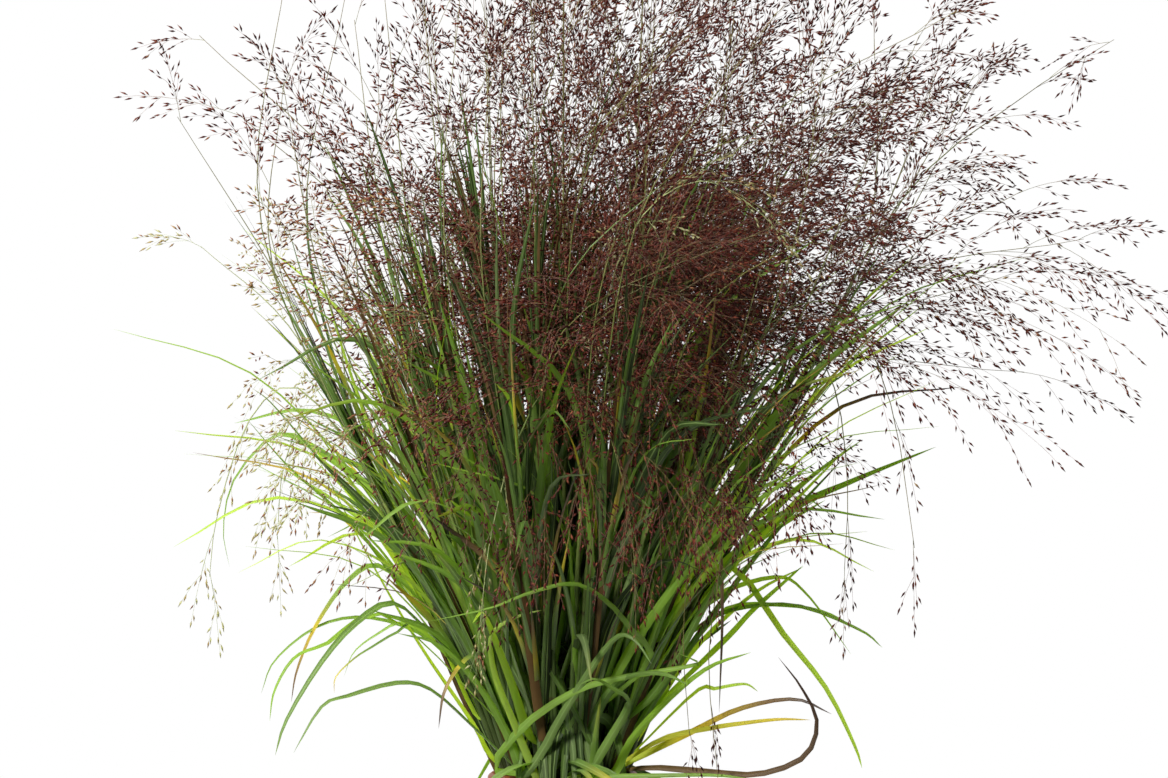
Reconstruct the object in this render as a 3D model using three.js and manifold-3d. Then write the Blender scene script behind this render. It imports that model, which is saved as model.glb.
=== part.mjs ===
// Switchgrass standing in a plain glazed pot: an upright, flaring clump of leafy stems, each one
// carrying an airy panicle of small pointed spikelets. Millimetres, +Z up, the origin at the centre
// of the pot's flat base, and the clump's widest spread along X.
import * as THREE from "three";
import { mergeVertices } from "three/addons/utils/BufferGeometryUtils.js";
import Module from "manifold-3d";

const wasm = await Module();
wasm.setup();

// ---- Driving dimensions ----

const POT = {
  height: 125,
  baseRadius: 41,
  bellyRadius: 55,
  neckRadius: 45.5,
  lipRadius: 49.5,
  wall: 5,
  sides: 24,
};
const SOIL = { below: 12, sides: 24 }; // how far the soil's surface lies below the rim
const GAP = 0.3; // clearance between pieces that rest against each other

const SOIL_TOP = POT.height - SOIL.below;

// Rings of stems, counted outwards. The stems fan out as lines from one point under the soil.
const FAN_DEPTH = 90;
const RINGS = [
  { stems: 1, radius: 0, height: 292, leaves: 3, segments: 2, branches: 5, spikelets: 2 },
  { stems: 6, radius: 12, height: 282, leaves: 3, segments: 2, branches: 5, spikelets: 2 },
  { stems: 9, radius: 23.5, height: 256, leaves: 3, segments: 2, branches: 5, spikelets: 2 },
  { stems: 12, radius: 34.5, height: 214, leaves: 3, segments: 4, branches: 8, spikelets: 2 },
];
const CULM = { baseRadius: 2, topRadius: 1, rootDepth: 26, sides: 4 };
const OUTER_BEND = { from: 10, out: 26, over: 250 }; // the outer stems bend outwards above the soil

const LEAF = {
  width: 8.5,
  thickness: 1.2,
  rootWidth: 1.9,
  lowestNode: 55, // heights above the soil between which the leaves grow from their stem
  highestNode: 190,
  shortest: 190,
  longest: 270,
  sections: [0, 0.14, 0.34, 0.56, 0.8], // where along its length a blade is given a section
};

// The crown of panicles: a flattened dome whose middle stands off the pot's axis along X.
const CROWN = { middle: 290, rise: 255, halfWidth: 350, halfDepth: 285, offset: 55, roundness: 2.5 };
const CROWN_FILL = 0.88; // how near to the dome the outer panicles' stalks reach
const STALK_ELEVATIONS = [44, 14]; // degrees, by turns, seen from the middle of the crown
const STALK = { baseRadius: 0.9, tipRadius: 0.42, sides: 3 };
const BRANCH = {
  rootRadius: 0.2, // thin enough to start inside the stalk
  radius: 0.34,
  length: 150,
  lowestLean: 1.1, // radians off the stalk, for the lowest branch and for the highest
  highestLean: 0.2,
  outerSag: 0.5, // how far the tip hangs below a straight branch, as a share of its length
  innerSag: 0.28,
  room: 3, // how far inside its stem's own space a branch stays
};
const SPIKELET = { radius: 0.85, swell: 1.8, taper: 6.4 };

// Every outer panicle also has long branches that reach for the edge of the crown, from its drooping
// skirt up to its shoulder. Each one leaves the stalk at a share of its height, and its tip lies at a
// turn from the stem's azimuth (radians), an elevation (degrees) and a share of the way to the dome.
const REACHING = {
  spikelets: 2,
  arch: 0.18, // how high the branch rises above a straight one, as a share of its length
  aside: 0.03, // how much further round the tip lies at each new try, in radians
};
const REACHING_BRANCHES = [
  { from: 0.02, turn: -0.16, elevation: -40, fill: 1.03 },
  { from: 0.07, turn: 0.15, elevation: -26, fill: 1.03 },
  { from: 0.2, turn: -0.06, elevation: -8, fill: 1 },
  { from: 0.42, turn: 0.16, elevation: 28, fill: 0.98 },
  { from: 0.34, turn: -0.1, elevation: 57, fill: 0.98 },
];
const TRIES = 9; // how often a branch that meets a leaf may start again
const TURN_ASIDE = 0.29; // how much further on it then starts, in steps from branch to branch

// Leaves that stand out from the clump, each by the stem it grows on (the azimuth of that stem in
// degrees), its greatest width, and the points that its midrib passes: X, Y, height above the rim.
const OUTER_LEAVES = [
  {
    stem: 195,
    width: 7,
    points: [[-97, -26, 110], [-134, -36, 160], [-175, -47, 198], [-203, -54, 231]],
  },
  {
    stem: 195,
    width: 6,
    points: [[-116, -34, 134], [-138, -40, 126], [-158, -46, 98], [-170, -50, 70], [-174, -52, 49]],
  },
  {
    stem: 195,
    width: 5,
    points: [[-91, -24, 90], [-126, -36, 102], [-157, -44, 97], [-184, -52, 76], [-193, -55, 55]],
  },
  {
    stem: 165,
    width: 9,
    points: [
      [-108, 28, 160], [-130, 34, 185], [-167, 44, 211], [-191, 50, 218],
      [-218, 57, 190], [-226, 60, 157], [-222, 60, 131],
    ],
  },
  {
    stem: 165,
    width: 5,
    points: [[-97, 26, 111], [-115, 31, 133], [-147, 39, 164], [-169, 44, 168]],
  },
  {
    stem: 165,
    width: 6,
    points: [[-86, 22, 84], [-106, 28, 95], [-122, 33, 88], [-138, 38, 76], [-145, 40, 60]],
  },
  {
    stem: 225,
    width: 9,
    points: [
      [-84, -60, 92], [-108, -76, 113], [-131, -90, 101],
      [-152, -102, 77], [-173, -112, 42], [-180, -116, 20],
    ],
  },
  {
    stem: 225,
    width: 8,
    points: [
      [-60, -44, 34], [-85, -58, 57], [-106, -70, 62],
      [-136, -88, 55], [-152, -98, 49], [-169, -108, 21],
    ],
  },
  {
    stem: 225,
    width: 5,
    points: [[-50, -52, 80], [-62, -62, 77], [-75, -72, 58], [-79, -76, 34]],
  },
  {
    stem: 255,
    width: 8,
    points: [[-22, -52, 30], [-32, -76, 62], [-44, -100, 96], [-50, -118, 110], [-56, -140, 104]],
  },
  {
    stem: 285,
    width: 8,
    points: [[13, -46, 22], [26, -66, 52], [40, -92, 68], [62, -124, 72], [78, -146, 66]],
  },
  {
    stem: 285,
    width: 10,
    points: [[10, -50, 52], [10, -84, 92], [14, -112, 90], [18, -128, 66]],
  },
  {
    stem: 345,
    width: 9,
    points: [
      [84, -22, 112], [109, -30, 134], [141, -40, 92],
      [168, -48, 58], [186, -54, 22], [191, -56, 7],
    ],
  },
  {
    stem: 345,
    width: 8,
    points: [[92, -22, 118], [128, -32, 162], [160, -40, 193], [192, -46, 217]],
  },
  {
    stem: 345,
    width: 5,
    points: [[86, -24, 94], [110, -30, 107], [150, -40, 110], [190, -50, 95], [204, -54, 84]],
  },
  {
    stem: 15,
    width: 9,
    points: [[96, 24, 124], [148, 36, 168], [190, 46, 188], [247, 58, 211]],
  },
  {
    stem: 15,
    width: 8,
    points: [[84, 22, 102], [108, 30, 133], [140, 38, 157], [173, 46, 176]],
  },
  {
    stem: 15,
    width: 5,
    points: [[96, 26, 112], [139, 40, 125], [160, 46, 114], [190, 54, 74]],
  },
  {
    stem: 315,
    width: 6,
    points: [[50, -38, 14], [82, -60, 31], [112, -80, 47], [146, -96, 54], [169, -104, 45]],
  },
  {
    stem: 315,
    width: 5,
    points: [
      [56, -44, 7], [93, -66, 6], [124, -84, 6], [152, -98, 18],
      [160, -102, 40], [150, -98, 62], [136, -92, 80],
    ],
  },
  {
    stem: 315,
    width: 6,
    points: [[70, -56, 140], [84, -66, 196], [96, -74, 181], [101, -78, 118], [99, -78, 44]],
  },
];

// ---- Numbers, curves and sections ----

// A seeded stream of numbers from 0 to 1, the same in every run.
function randomStream(seed) {
  let state = seed >>> 0;
  return () => {
    state = (state + 0x6d2b79f5) >>> 0;
    let mixed = Math.imul(state ^ (state >>> 15), state | 1);
    mixed ^= mixed + Math.imul(mixed ^ (mixed >>> 7), mixed | 61);
    return ((mixed ^ (mixed >>> 14)) >>> 0) / 4294967296;
  };
}

const spread = (random, low, high) => low + (high - low) * random();
const radians = (degrees) => (degrees * Math.PI) / 180;
const GOLDEN_ANGLE = radians(137.5);
const UP = new THREE.Vector3(0, 0, 1);

// A direction that leans away from the vertical towards an azimuth.
function leaning(azimuth, lean) {
  const across = Math.sin(lean);
  return new THREE.Vector3(across * Math.cos(azimuth), across * Math.sin(azimuth), Math.cos(lean));
}

const curveThrough = (points) => new THREE.CatmullRomCurve3(points, false, "catmullrom", 0.5);

// A closed body through rings of points that all run the same way round, ending flat or in a tip.
function loft(rings, tip = null) {
  const sides = rings[0].length;
  const positions = [];
  const triangle = (a, b, c) => positions.push(...a.toArray(), ...b.toArray(), ...c.toArray());
  const first = rings[0];
  const last = rings[rings.length - 1];
  for (let i = 1; i < sides - 1; i += 1) triangle(first[0], first[i + 1], first[i]);
  for (let r = 0; r < rings.length - 1; r += 1) {
    for (let i = 0; i < sides; i += 1) {
      const j = (i + 1) % sides;
      triangle(rings[r][i], rings[r][j], rings[r + 1][j]);
      triangle(rings[r][i], rings[r + 1][j], rings[r + 1][i]);
    }
  }
  if (tip) for (let i = 0; i < sides; i += 1) triangle(last[i], last[(i + 1) % sides], tip);
  else for (let i = 1; i < sides - 1; i += 1) triangle(last[0], last[i], last[i + 1]);
  return new THREE.BufferGeometry().setAttribute("position", new THREE.Float32BufferAttribute(positions, 3));
}

// A regular ring of points round a place on a stalk, square to the stalk's direction. The middle of
// one of its sides faces an azimuth.
function ringRound(centre, direction, radius, sides, facing) {
  const corner = facing + Math.PI / sides;
  const side = new THREE.Vector3(Math.cos(corner), Math.sin(corner), 0);
  side.addScaledVector(direction, -side.dot(direction)).normalize();
  const other = direction.clone().cross(side).normalize();
  return Array.from({ length: sides }, (_, i) => {
    const turn = (2 * Math.PI * i) / sides;
    return centre
      .clone()
      .addScaledVector(side, radius * Math.cos(turn))
      .addScaledVector(other, radius * Math.sin(turn));
  });
}

// ---- Solids ----

function solidFrom(geometry) {
  const bare = geometry.clone();
  bare.deleteAttribute("normal");
  bare.deleteAttribute("uv");
  const merged = mergeVertices(bare, 1e-4);
  return new wasm.Manifold(
    new wasm.Mesh({
      numProp: 3,
      vertProperties: new Float32Array(merged.attributes.position.array),
      triVerts: new Uint32Array(merged.index.array),
    }),
  );
}

const joined = (solids) => solids.reduce((whole, piece) => whole.add(piece));

// The one body that the joined pieces make, with any hollow sealed inside it filled.
function wholeBody(solid) {
  const bodies = solid.decompose();
  return bodies.reduce((largest, body) => (body.volume() > largest.volume() ? body : largest));
}

function geometryOf(solid) {
  const mesh = wholeBody(solid).getMesh();
  const geometry = new THREE.BufferGeometry();
  geometry.setAttribute("position", new THREE.BufferAttribute(new Float32Array(mesh.vertProperties), 3));
  geometry.setIndex(new THREE.BufferAttribute(new Uint32Array(mesh.triVerts), 1));
  geometry.computeVertexNormals();
  return geometry;
}

// ---- Where the stems stand ----

const FAN_POINT = new THREE.Vector3(0, 0, SOIL_TOP - FAN_DEPTH);

const stems = RINGS.flatMap((ring, ringNumber) =>
  Array.from({ length: ring.stems }, (_, place) => {
    const azimuth = (2 * Math.PI * (place + 0.5)) / ring.stems;
    const foot = leaning(azimuth, Math.PI / 2).multiplyScalar(ring.radius).setZ(SOIL_TOP);
    return { ring, ringNumber, place, azimuth, foot, outer: ringNumber === RINGS.length - 1 };
  }),
);

// Each stem owns the space nearest to its own line, a cone from the fan point with flat walls.
for (const stem of stems) {
  const line = stem.foot.clone().sub(FAN_POINT).divideScalar(FAN_DEPTH);
  stem.walls = stems
    .filter((other) => other !== stem)
    .map((other) => {
      const otherLine = other.foot.clone().sub(FAN_POINT).divideScalar(FAN_DEPTH);
      const away = otherLine.clone().sub(line);
      const middle = otherLine.clone().add(line).multiplyScalar(0.5);
      return new THREE.Vector3(away.x, away.y, -away.dot(middle)).normalize();
    });
}

// The middle of a stem at a height. The outer ones bend outwards as they rise.
function stemAt(stem, height) {
  const place = FAN_POINT.clone().lerp(stem.foot, (height - FAN_POINT.z) / FAN_DEPTH);
  const bent = height - SOIL_TOP - OUTER_BEND.from;
  if (stem.outer && bent > 0) {
    const bend = OUTER_BEND.out * (bent / OUTER_BEND.over) ** 2;
    place.x += bend * Math.cos(stem.azimuth);
    place.y += bend * Math.sin(stem.azimuth);
  }
  return place;
}

// Moves a place level towards its stem until it lies at least a margin inside the stem's own space.
function keptInside(stem, place, margin) {
  const axis = stemAt(stem, place.z);
  let share = 1;
  for (const wall of stem.walls) {
    const fromAxis = wall.dot(place.clone().sub(axis));
    if (fromAxis <= 0) continue;
    const room = -margin - wall.dot(axis.clone().sub(FAN_POINT));
    share = Math.min(share, Math.max(0, room / fromAxis));
  }
  return axis.lerp(place, share);
}

// How far the crown reaches from the pot's axis in a direction seen from above.
function crownReach(azimuth) {
  const wide = CROWN.halfWidth * Math.cos(azimuth);
  const deep = CROWN.halfDepth * Math.sin(azimuth);
  return CROWN.offset * Math.cos(azimuth) + Math.hypot(wide, deep);
}

// A place in the crown by its azimuth (radians), its elevation (degrees) as seen from the crown's
// middle, and its share of the way to the dome.
function onDome(azimuth, elevation, fill) {
  const reach = crownReach(azimuth) * fill * Math.cos(radians(elevation));
  const height = POT.height + CROWN.middle + CROWN.rise * fill * Math.sin(radians(elevation));
  return new THREE.Vector3(reach * Math.cos(azimuth), reach * Math.sin(azimuth), height);
}

// Draws a place that lies beyond the crown's dome back onto it.
function underDome(place) {
  const middle = new THREE.Vector3(0, 0, POT.height + CROWN.middle);
  const out = place.clone().sub(middle);
  const level = Math.hypot(out.x, out.y) / crownReach(Math.atan2(out.y, out.x));
  const risen = Math.max(0, out.z) / CROWN.rise;
  const share = (level ** CROWN.roundness + risen ** CROWN.roundness) ** (1 / CROWN.roundness);
  return share > 1 ? middle.addScaledVector(out, 1 / share) : place;
}

// ---- Pot and soil ----

function lathe(profile, sides) {
  const outline = profile.map(([radius, height]) => new THREE.Vector2(radius, height));
  return new THREE.LatheGeometry(outline, sides).rotateX(Math.PI / 2);
}

// A bellied pot with a short neck under a rounded lip: its outline up the outside and down the inside.
function potGeometry() {
  const { height, baseRadius, bellyRadius, neckRadius, lipRadius, wall } = POT;
  const outside = [
    [0, 0],
    [baseRadius, 0],
    [bellyRadius - 3, height * 0.28],
    [bellyRadius, height * 0.48],
    [bellyRadius - 3.5, height * 0.7],
    [neckRadius, height - 16],
    [neckRadius + 0.5, height - 12],
    [lipRadius, height - 6.5],
    [lipRadius - 0.6, height - 2.2],
    [lipRadius - 2.6, height],
  ];
  const inside = [
    [neckRadius - wall + 1.6, height - 2.2],
    [neckRadius - wall + 0.5, height - 8],
    [neckRadius - wall + 0.5, height - 16],
    [bellyRadius - wall - 3, height * 0.7],
    [bellyRadius - wall, height * 0.48],
    [bellyRadius - wall - 4, height * 0.24],
    [baseRadius - wall, wall + 2],
    [0, wall + 2],
  ];
  return lathe([...outside, ...inside], POT.sides);
}

// The soil fills the pot, a gap clear of its wall, with a hole for each stem.
function soilGeometry() {
  const { height, baseRadius, bellyRadius, neckRadius, wall } = POT;
  const edge = neckRadius - wall + 0.5 - GAP;
  const body = lathe(
    [
      [0, wall + 2 + GAP],
      [baseRadius - wall - GAP - 0.6, wall + 2 + GAP],
      [bellyRadius - wall - 4 - GAP - 0.2, height * 0.24],
      [bellyRadius - wall - GAP - 0.2, height * 0.48],
      [bellyRadius - wall - 3 - GAP - 0.6, height * 0.7],
      [edge, height - 16.5],
      [edge, SOIL_TOP - 1.5],
      [edge - 3, SOIL_TOP],
      [0, SOIL_TOP],
    ],
    SOIL.sides,
  );
  const holes = stems.map((stem) => solidFrom(culmGeometry(stem, SOIL_TOP + 4, GAP)));
  return geometryOf(holes.reduce((soil, hole) => soil.subtract(hole), solidFrom(body)));
}

// ---- Leafy stems ----

// A stem from its root end up to a height; the hole that it stands in is the same, made larger.
function culmGeometry(stem, top, clearance = 0) {
  const low = SOIL_TOP - CULM.rootDepth - clearance;
  const straight = SOIL_TOP + OUTER_BEND.from;
  const heights = stem.outer && top > straight ? [low, straight, (straight + top) / 2, top] : [low, top];
  const fullHeight = stem.ring.height;
  const rings = heights.map((height) => {
    const centre = stemAt(stem, height);
    const direction = stemAt(stem, height + 1).sub(centre).normalize();
    const risen = Math.max(0, height - SOIL_TOP) / fullHeight;
    const radius = THREE.MathUtils.lerp(CULM.baseRadius, CULM.topRadius, risen) + clearance;
    return ringRound(centre, direction, radius, CULM.sides, stem.azimuth);
  });
  return loft(rings);
}

// How wide a blade is along its length, as a share of its greatest width.
function bladeShare(t) {
  return Math.min(1, 0.42 + 2.6 * t) * Math.pow(1 - t, 0.62);
}

// A blade with a keel below: flat on top, three-sided in section, closing in a point.
function leafGeometry(stem, leaf) {
  const curve = curveThrough(leaf.points);
  const across = new THREE.Vector3(-Math.sin(leaf.azimuth), Math.cos(leaf.azimuth), 0);
  const rings = leaf.sections.map((t) => {
    const wide = t === 0 ? LEAF.rootWidth : Math.max(LEAF.rootWidth, leaf.width * bladeShare(t));
    const centre = t === 0 ? curve.getPoint(0) : keptInside(stem, curve.getPoint(t), wide / 2 + 1.1);
    const along = curve.getTangent(t);
    const flat = across.clone().addScaledVector(along, -across.dot(along)).normalize();
    flat.applyAxisAngle(along, leaf.twist * t);
    const below = flat.clone().cross(along).normalize();
    return [
      centre.clone().addScaledVector(flat, wide / 2),
      centre.clone().addScaledVector(flat, -wide / 2),
      centre.clone().addScaledVector(below, LEAF.thickness),
    ];
  });
  return loft(rings, keptInside(stem, curve.getPoint(1), 1));
}

// A leaf that the clump's own rule gives: it rises beside its stem and arches over outwards.
function ruledLeaf(stem, number, random) {
  const share = (number + random() * 0.6) / stem.ring.leaves;
  const nodeHeight = THREE.MathUtils.lerp(LEAF.lowestNode, LEAF.highestNode, share);
  const root = stemAt(stem, SOIL_TOP + nodeHeight);
  const outward = stem.ringNumber === 0 ? number * GOLDEN_ANGLE : stem.azimuth;
  const azimuth = outward + (number % 2 === 0 ? 1 : -1) * spread(random, 0.15, 0.75);
  const length = spread(random, LEAF.shortest, LEAF.longest) * (1 - 0.1 * number);
  const lean = spread(random, 0.16, 0.34) + (stem.outer ? 0.3 : 0.1);
  const arch = spread(random, 0.3, 0.8) + (stem.outer ? 0.75 : 0);
  const points = [root];
  for (const [share, bend] of [[0.34, 0], [0.36, 0.45], [0.3, 1]]) {
    const last = points[points.length - 1];
    points.push(last.clone().addScaledVector(leaning(azimuth, lean + arch * bend), length * share));
  }
  const width = LEAF.width * spread(random, 0.75, 1.15);
  return { points, azimuth, width, twist: spread(random, -0.9, 0.9), sections: LEAF.sections };
}

// A leaf that stands out from the clump starts in its stem, lower down the further off its first
// point lies.
function standingOutLeaf(stem, { width, points }) {
  const places = points.map(([x, y, z]) => new THREE.Vector3(x, y, z + POT.height));
  const beside = stemAt(stem, places[0].z);
  const off = Math.hypot(places[0].x, places[0].y) - Math.hypot(beside.x, beside.y);
  const root = stemAt(stem, Math.max(SOIL_TOP + OUTER_BEND.from + 4, places[0].z - 1.6 * off));
  const sections = points.map((_, i) => i / points.length); // at every point but the tip
  return { points: [root, ...places], azimuth: stem.azimuth, width, twist: 0.35, sections };
}

function leafyStem(stem, random) {
  const culm = solidFrom(culmGeometry(stem, SOIL_TOP + stem.ring.height));
  const own = OUTER_LEAVES.filter((leaf) => stem.outer && Math.abs(radians(leaf.stem) - stem.azimuth) < 0.01);
  const count = Math.max(1, stem.ring.leaves + 1 - Math.max(1, own.length));
  const ruled = Array.from({ length: count }, (_, number) => ruledLeaf(stem, number, random));
  const leaves = [...own.map((leaf) => standingOutLeaf(stem, leaf)), ...ruled];
  return joined([culm, ...leaves.map((leaf) => solidFrom(leafGeometry(stem, leaf)))]);
}

// ---- Panicles ----

// The main stalk of a panicle, from just above its stem to near the dome.
function stalkCurve(stem) {
  const low = SOIL_TOP + stem.ring.height + GAP;
  const start = stemAt(stem, low);
  const direction = stemAt(stem, low + 1).sub(start).normalize();
  if (!stem.outer) {
    const top = underDome(start.clone().addScaledVector(direction, CROWN.rise * 2));
    return curveThrough([start, start.clone().lerp(top, 0.48), start.clone().lerp(top, 0.93)]);
  }
  const end = onDome(stem.azimuth, STALK_ELEVATIONS[stem.place % 2], CROWN_FILL);
  const shoulder = start.clone().addScaledVector(direction, start.distanceTo(end) * 0.5).lerp(end, 0.14);
  return curveThrough([start, shoulder, end]);
}

// Which way a ring on an arching curve faces so that one corner points level and square to the way
// that the curve leads. The rings then don't turn over where the curve passes the level.
function facingBeside(curve) {
  const way = curve.getPoint(1).sub(curve.getPoint(0));
  return Math.atan2(way.y, way.x) + Math.PI / 2 - Math.PI / STALK.sides;
}

// The stalk runs straight between sections at even shares of its curve.
function stalkGeometry(curve, segments) {
  const facing = facingBeside(curve);
  const rings = Array.from({ length: segments + 1 }, (_, i) => {
    const share = i / segments;
    const radius = THREE.MathUtils.lerp(STALK.baseRadius, STALK.tipRadius, share);
    return ringRound(curve.getPoint(share), curve.getTangent(share), radius, STALK.sides, facing);
  });
  return loft(rings);
}

// The middle of the stalk at a share of its height, on the straight between its sections.
function stalkPoint(curve, segments, share) {
  const below = Math.floor(share * segments);
  const low = curve.getPoint(below / segments);
  const high = curve.getPoint((below + 1) / segments);
  return low.lerp(high, share * segments - below);
}

// A branch leaves the stalk at a share of its height, arches, and ends in a string of spikelets.
function branchCurve(stem, stalk, number, random) {
  const share = Math.min(0.97, 0.04 + (0.93 * (number + spread(random, 0, 0.5))) / (stem.ring.branches - 1));
  const root = stalkPoint(stalk, stem.ring.segments, share);
  const along = stalk.getTangent(share);
  const azimuth = number * GOLDEN_ANGLE + stem.azimuth + spread(random, -0.3, 0.3);
  const out = new THREE.Vector3(1, 0, 0).cross(along).normalize().applyAxisAngle(along, azimuth);
  const ruledLean = THREE.MathUtils.lerp(BRANCH.lowestLean, BRANCH.highestLean, share);
  const lean = ruledLean + spread(random, -0.12, 0.12);
  const length = BRANCH.length * THREE.MathUtils.lerp(1.2, 0.55, share) * spread(random, 0.8, 1.15);
  const heading = along.clone().multiplyScalar(Math.cos(lean)).addScaledVector(out, Math.sin(lean));
  const sag = (stem.outer ? BRANCH.outerSag : BRANCH.innerSag) * length * (1 - 0.6 * share);
  const middle = root.clone().addScaledVector(heading, length * 0.5);
  const tip = root.clone().addScaledVector(heading, length).addScaledVector(UP, -sag);
  const kept = [middle, tip].map((place) => keptInside(stem, underDome(place), BRANCH.room));
  return curveThrough([root, ...kept]);
}

// A branch that reaches for the edge of the crown.
function reachingCurve(stem, stalk, { from, turn, elevation, fill }, aside) {
  const root = stalkPoint(stalk, stem.ring.segments, from);
  const goal = keptInside(stem, onDome(stem.azimuth + turn + aside, elevation, fill), BRANCH.room);
  const middle = root.clone().lerp(goal, 0.5).addScaledVector(UP, root.distanceTo(goal) * REACHING.arch);
  return curveThrough([root, keptInside(stem, middle, BRANCH.room), goal]);
}

function branchGeometry(stem, curve, spikelets) {
  const length = curve.getLength();
  const pitch = (SPIKELET.swell + SPIKELET.taper) / length;
  const first = 1 - pitch * spikelets;
  const sections = [[0, BRANCH.rootRadius]];
  if (stem.outer) sections.push([first * 0.55, BRANCH.radius]);
  for (let i = 0; i < spikelets; i += 1) {
    const neck = first + pitch * i;
    sections.push([neck, BRANCH.radius], [neck + SPIKELET.swell / length, SPIKELET.radius]);
  }
  // Each ring is square to the line from the place before it to the next one, also at a sharp bend.
  const facing = facingBeside(curve);
  const centres = [...sections.map(([share]) => curve.getPointAt(share)), curve.getPoint(1)];
  const rings = sections.map(([, radius], i) => {
    const way = centres[i + 1].clone().sub(centres[Math.max(0, i - 1)]).normalize();
    return ringRound(centres[i], way, radius, STALK.sides, facing);
  });
  return loft(rings, curve.getPoint(1));
}

function panicle(stem, leafyStemSolid, random) {
  const stalk = stalkCurve(stem);
  const pieces = [solidFrom(stalkGeometry(stalk, stem.ring.segments))];
  // Adds the first of a branch's tries that meets no leaf.
  const add = (curveOf, spikelets) => {
    for (let attempt = 0; attempt < TRIES; attempt += 1) {
      const branch = solidFrom(branchGeometry(stem, curveOf(attempt), spikelets));
      if (!branch.intersect(leafyStemSolid).isEmpty()) continue;
      pieces.push(branch);
      return;
    }
  };
  for (let number = 0; number < stem.ring.branches; number += 1) {
    add((attempt) => branchCurve(stem, stalk, number + attempt * TURN_ASIDE, random), stem.ring.spikelets);
  }
  for (const reaching of stem.outer ? REACHING_BRANCHES : []) {
    add((attempt) => reachingCurve(stem, stalk, reaching, attempt * REACHING.aside), REACHING.spikelets);
  }
  return joined(pieces);
}

// ---- The part ----

const GLAZE = new THREE.MeshStandardMaterial({ color: 0x4a2209, roughness: 0.22, metalness: 0 });
const POTTING_SOIL = new THREE.MeshStandardMaterial({ color: 0x2b1f16, roughness: 0.95, metalness: 0 });
const LEAF_GREEN = new THREE.MeshStandardMaterial({ color: 0x5c8a34, roughness: 0.55, metalness: 0 });
const SEED_PURPLE = new THREE.MeshStandardMaterial({ color: 0x5a323a, roughness: 0.65, metalness: 0 });

const group = new THREE.Group();

function place(name, geometry, material) {
  const mesh = new THREE.Mesh(geometry, material);
  mesh.name = name;
  group.add(mesh);
}

place("pot", potGeometry(), GLAZE);
place("potting_soil", soilGeometry(), POTTING_SOIL);
stems.forEach((stem, index) => {
  const number = String(index + 1).padStart(2, "0");
  const random = randomStream(1000 + 17 * index);
  const leafy = leafyStem(stem, random);
  place(`leafy_stem_${number}`, geometryOf(leafy), LEAF_GREEN);
  place(`panicle_${number}`, geometryOf(panicle(stem, leafy, random)), SEED_PURPLE);
});

export default group;
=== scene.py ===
# %% [markdown]
# # Potted switchgrass
#
# Switchgrass is a clump of upright culms. Each culm carries long narrow blades and ends in a panicle,
# an airy flower head of hair-thin branches with a small pointed spikelet at every tip. The solid model
# holds 28 such stems, a pot and its soil. This notebook grows finer blades, branches and spikelets on
# the same stems, glazes the pot and beds the stems in loose soil. Lengths are millimetres until a mesh
# is made, and +Z is up.

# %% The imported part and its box
import math
import random
from collections import namedtuple

import bpy
from mathutils import Matrix, Vector, noise


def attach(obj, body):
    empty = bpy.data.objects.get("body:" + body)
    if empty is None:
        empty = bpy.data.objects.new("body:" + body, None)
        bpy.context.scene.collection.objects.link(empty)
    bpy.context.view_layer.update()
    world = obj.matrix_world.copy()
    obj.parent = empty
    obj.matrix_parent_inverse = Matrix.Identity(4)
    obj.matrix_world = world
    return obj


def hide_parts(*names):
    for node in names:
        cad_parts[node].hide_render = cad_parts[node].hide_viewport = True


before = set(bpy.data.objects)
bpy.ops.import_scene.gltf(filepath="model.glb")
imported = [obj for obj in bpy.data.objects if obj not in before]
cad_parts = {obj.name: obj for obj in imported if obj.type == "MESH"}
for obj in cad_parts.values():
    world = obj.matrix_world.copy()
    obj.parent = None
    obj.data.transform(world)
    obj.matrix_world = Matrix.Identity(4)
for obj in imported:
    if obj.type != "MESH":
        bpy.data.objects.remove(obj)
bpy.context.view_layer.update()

# %% [markdown]
# ## Small tools for node trees
#
# Every material and every growing rule here is a tree of nodes. One function adds a node, fills its
# inputs, each with a value or with a link from another node, and returns one of its outputs, ready to
# be linked on. A second one turns the familiar hex colours, which are sRGB, into the linear numbers
# that a shader works with.

# %% One way to add a node, and one way to give a colour
MM = 0.001
UP = Vector((0, 0, 1))


def colour(hex_code):
    """A hex sRGB colour as the linear numbers that a shader expects."""
    channels = [int(hex_code[i : i + 2], 16) / 255 for i in (1, 3, 5)]
    linear = [c / 12.92 if c <= 0.04045 else ((c + 0.055) / 1.055) ** 2.4 for c in channels]
    return (*linear, 1.0)


def set_stops(ramp_node, stops):
    """Gives a Color Ramp its stops: a place from 0 to 1 and a hex colour each."""
    elements = ramp_node.color_ramp.elements
    while len(elements) > 1:
        elements.remove(elements[-1])
    for index, (place, hex_code) in enumerate(stops):
        element = elements[0] if index == 0 else elements.new(place)
        element.position = place
        element.color = colour(hex_code)


def fill_in(node, inputs):
    """Fills inputs by number or name: with a value, a link from an output, or a list of such links."""
    for key, value in inputs.items() if isinstance(inputs, dict) else enumerate(inputs):
        for one in value if isinstance(value, list) else [value]:
            if isinstance(one, bpy.types.NodeSocket):
                node.id_data.links.new(one, node.inputs[key])
            else:
                node.inputs[key].default_value = one


def add(tree, kind, inputs=(), out=0, stops=(), **settings):
    """Adds a node with its settings and inputs. It returns one output, or the node if out is None."""
    node = tree.nodes.new(kind)
    for name, value in settings.items():
        setattr(node, name, value)
    if stops:
        set_stops(node, stops)
    fill_in(node, inputs)
    return node if out is None else node.outputs[out]


def new_material(name):
    """A material with a Principled shader: the material, its tree and that shader."""
    material = bpy.data.materials.new(name)
    material.use_nodes = True
    return material, material.node_tree, material.node_tree.nodes["Principled BSDF"]


def new_object(name, data):
    """Puts data in the scene as an object."""
    obj = bpy.data.objects.new(name, data)
    bpy.context.scene.collection.objects.link(obj)
    return obj

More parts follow.
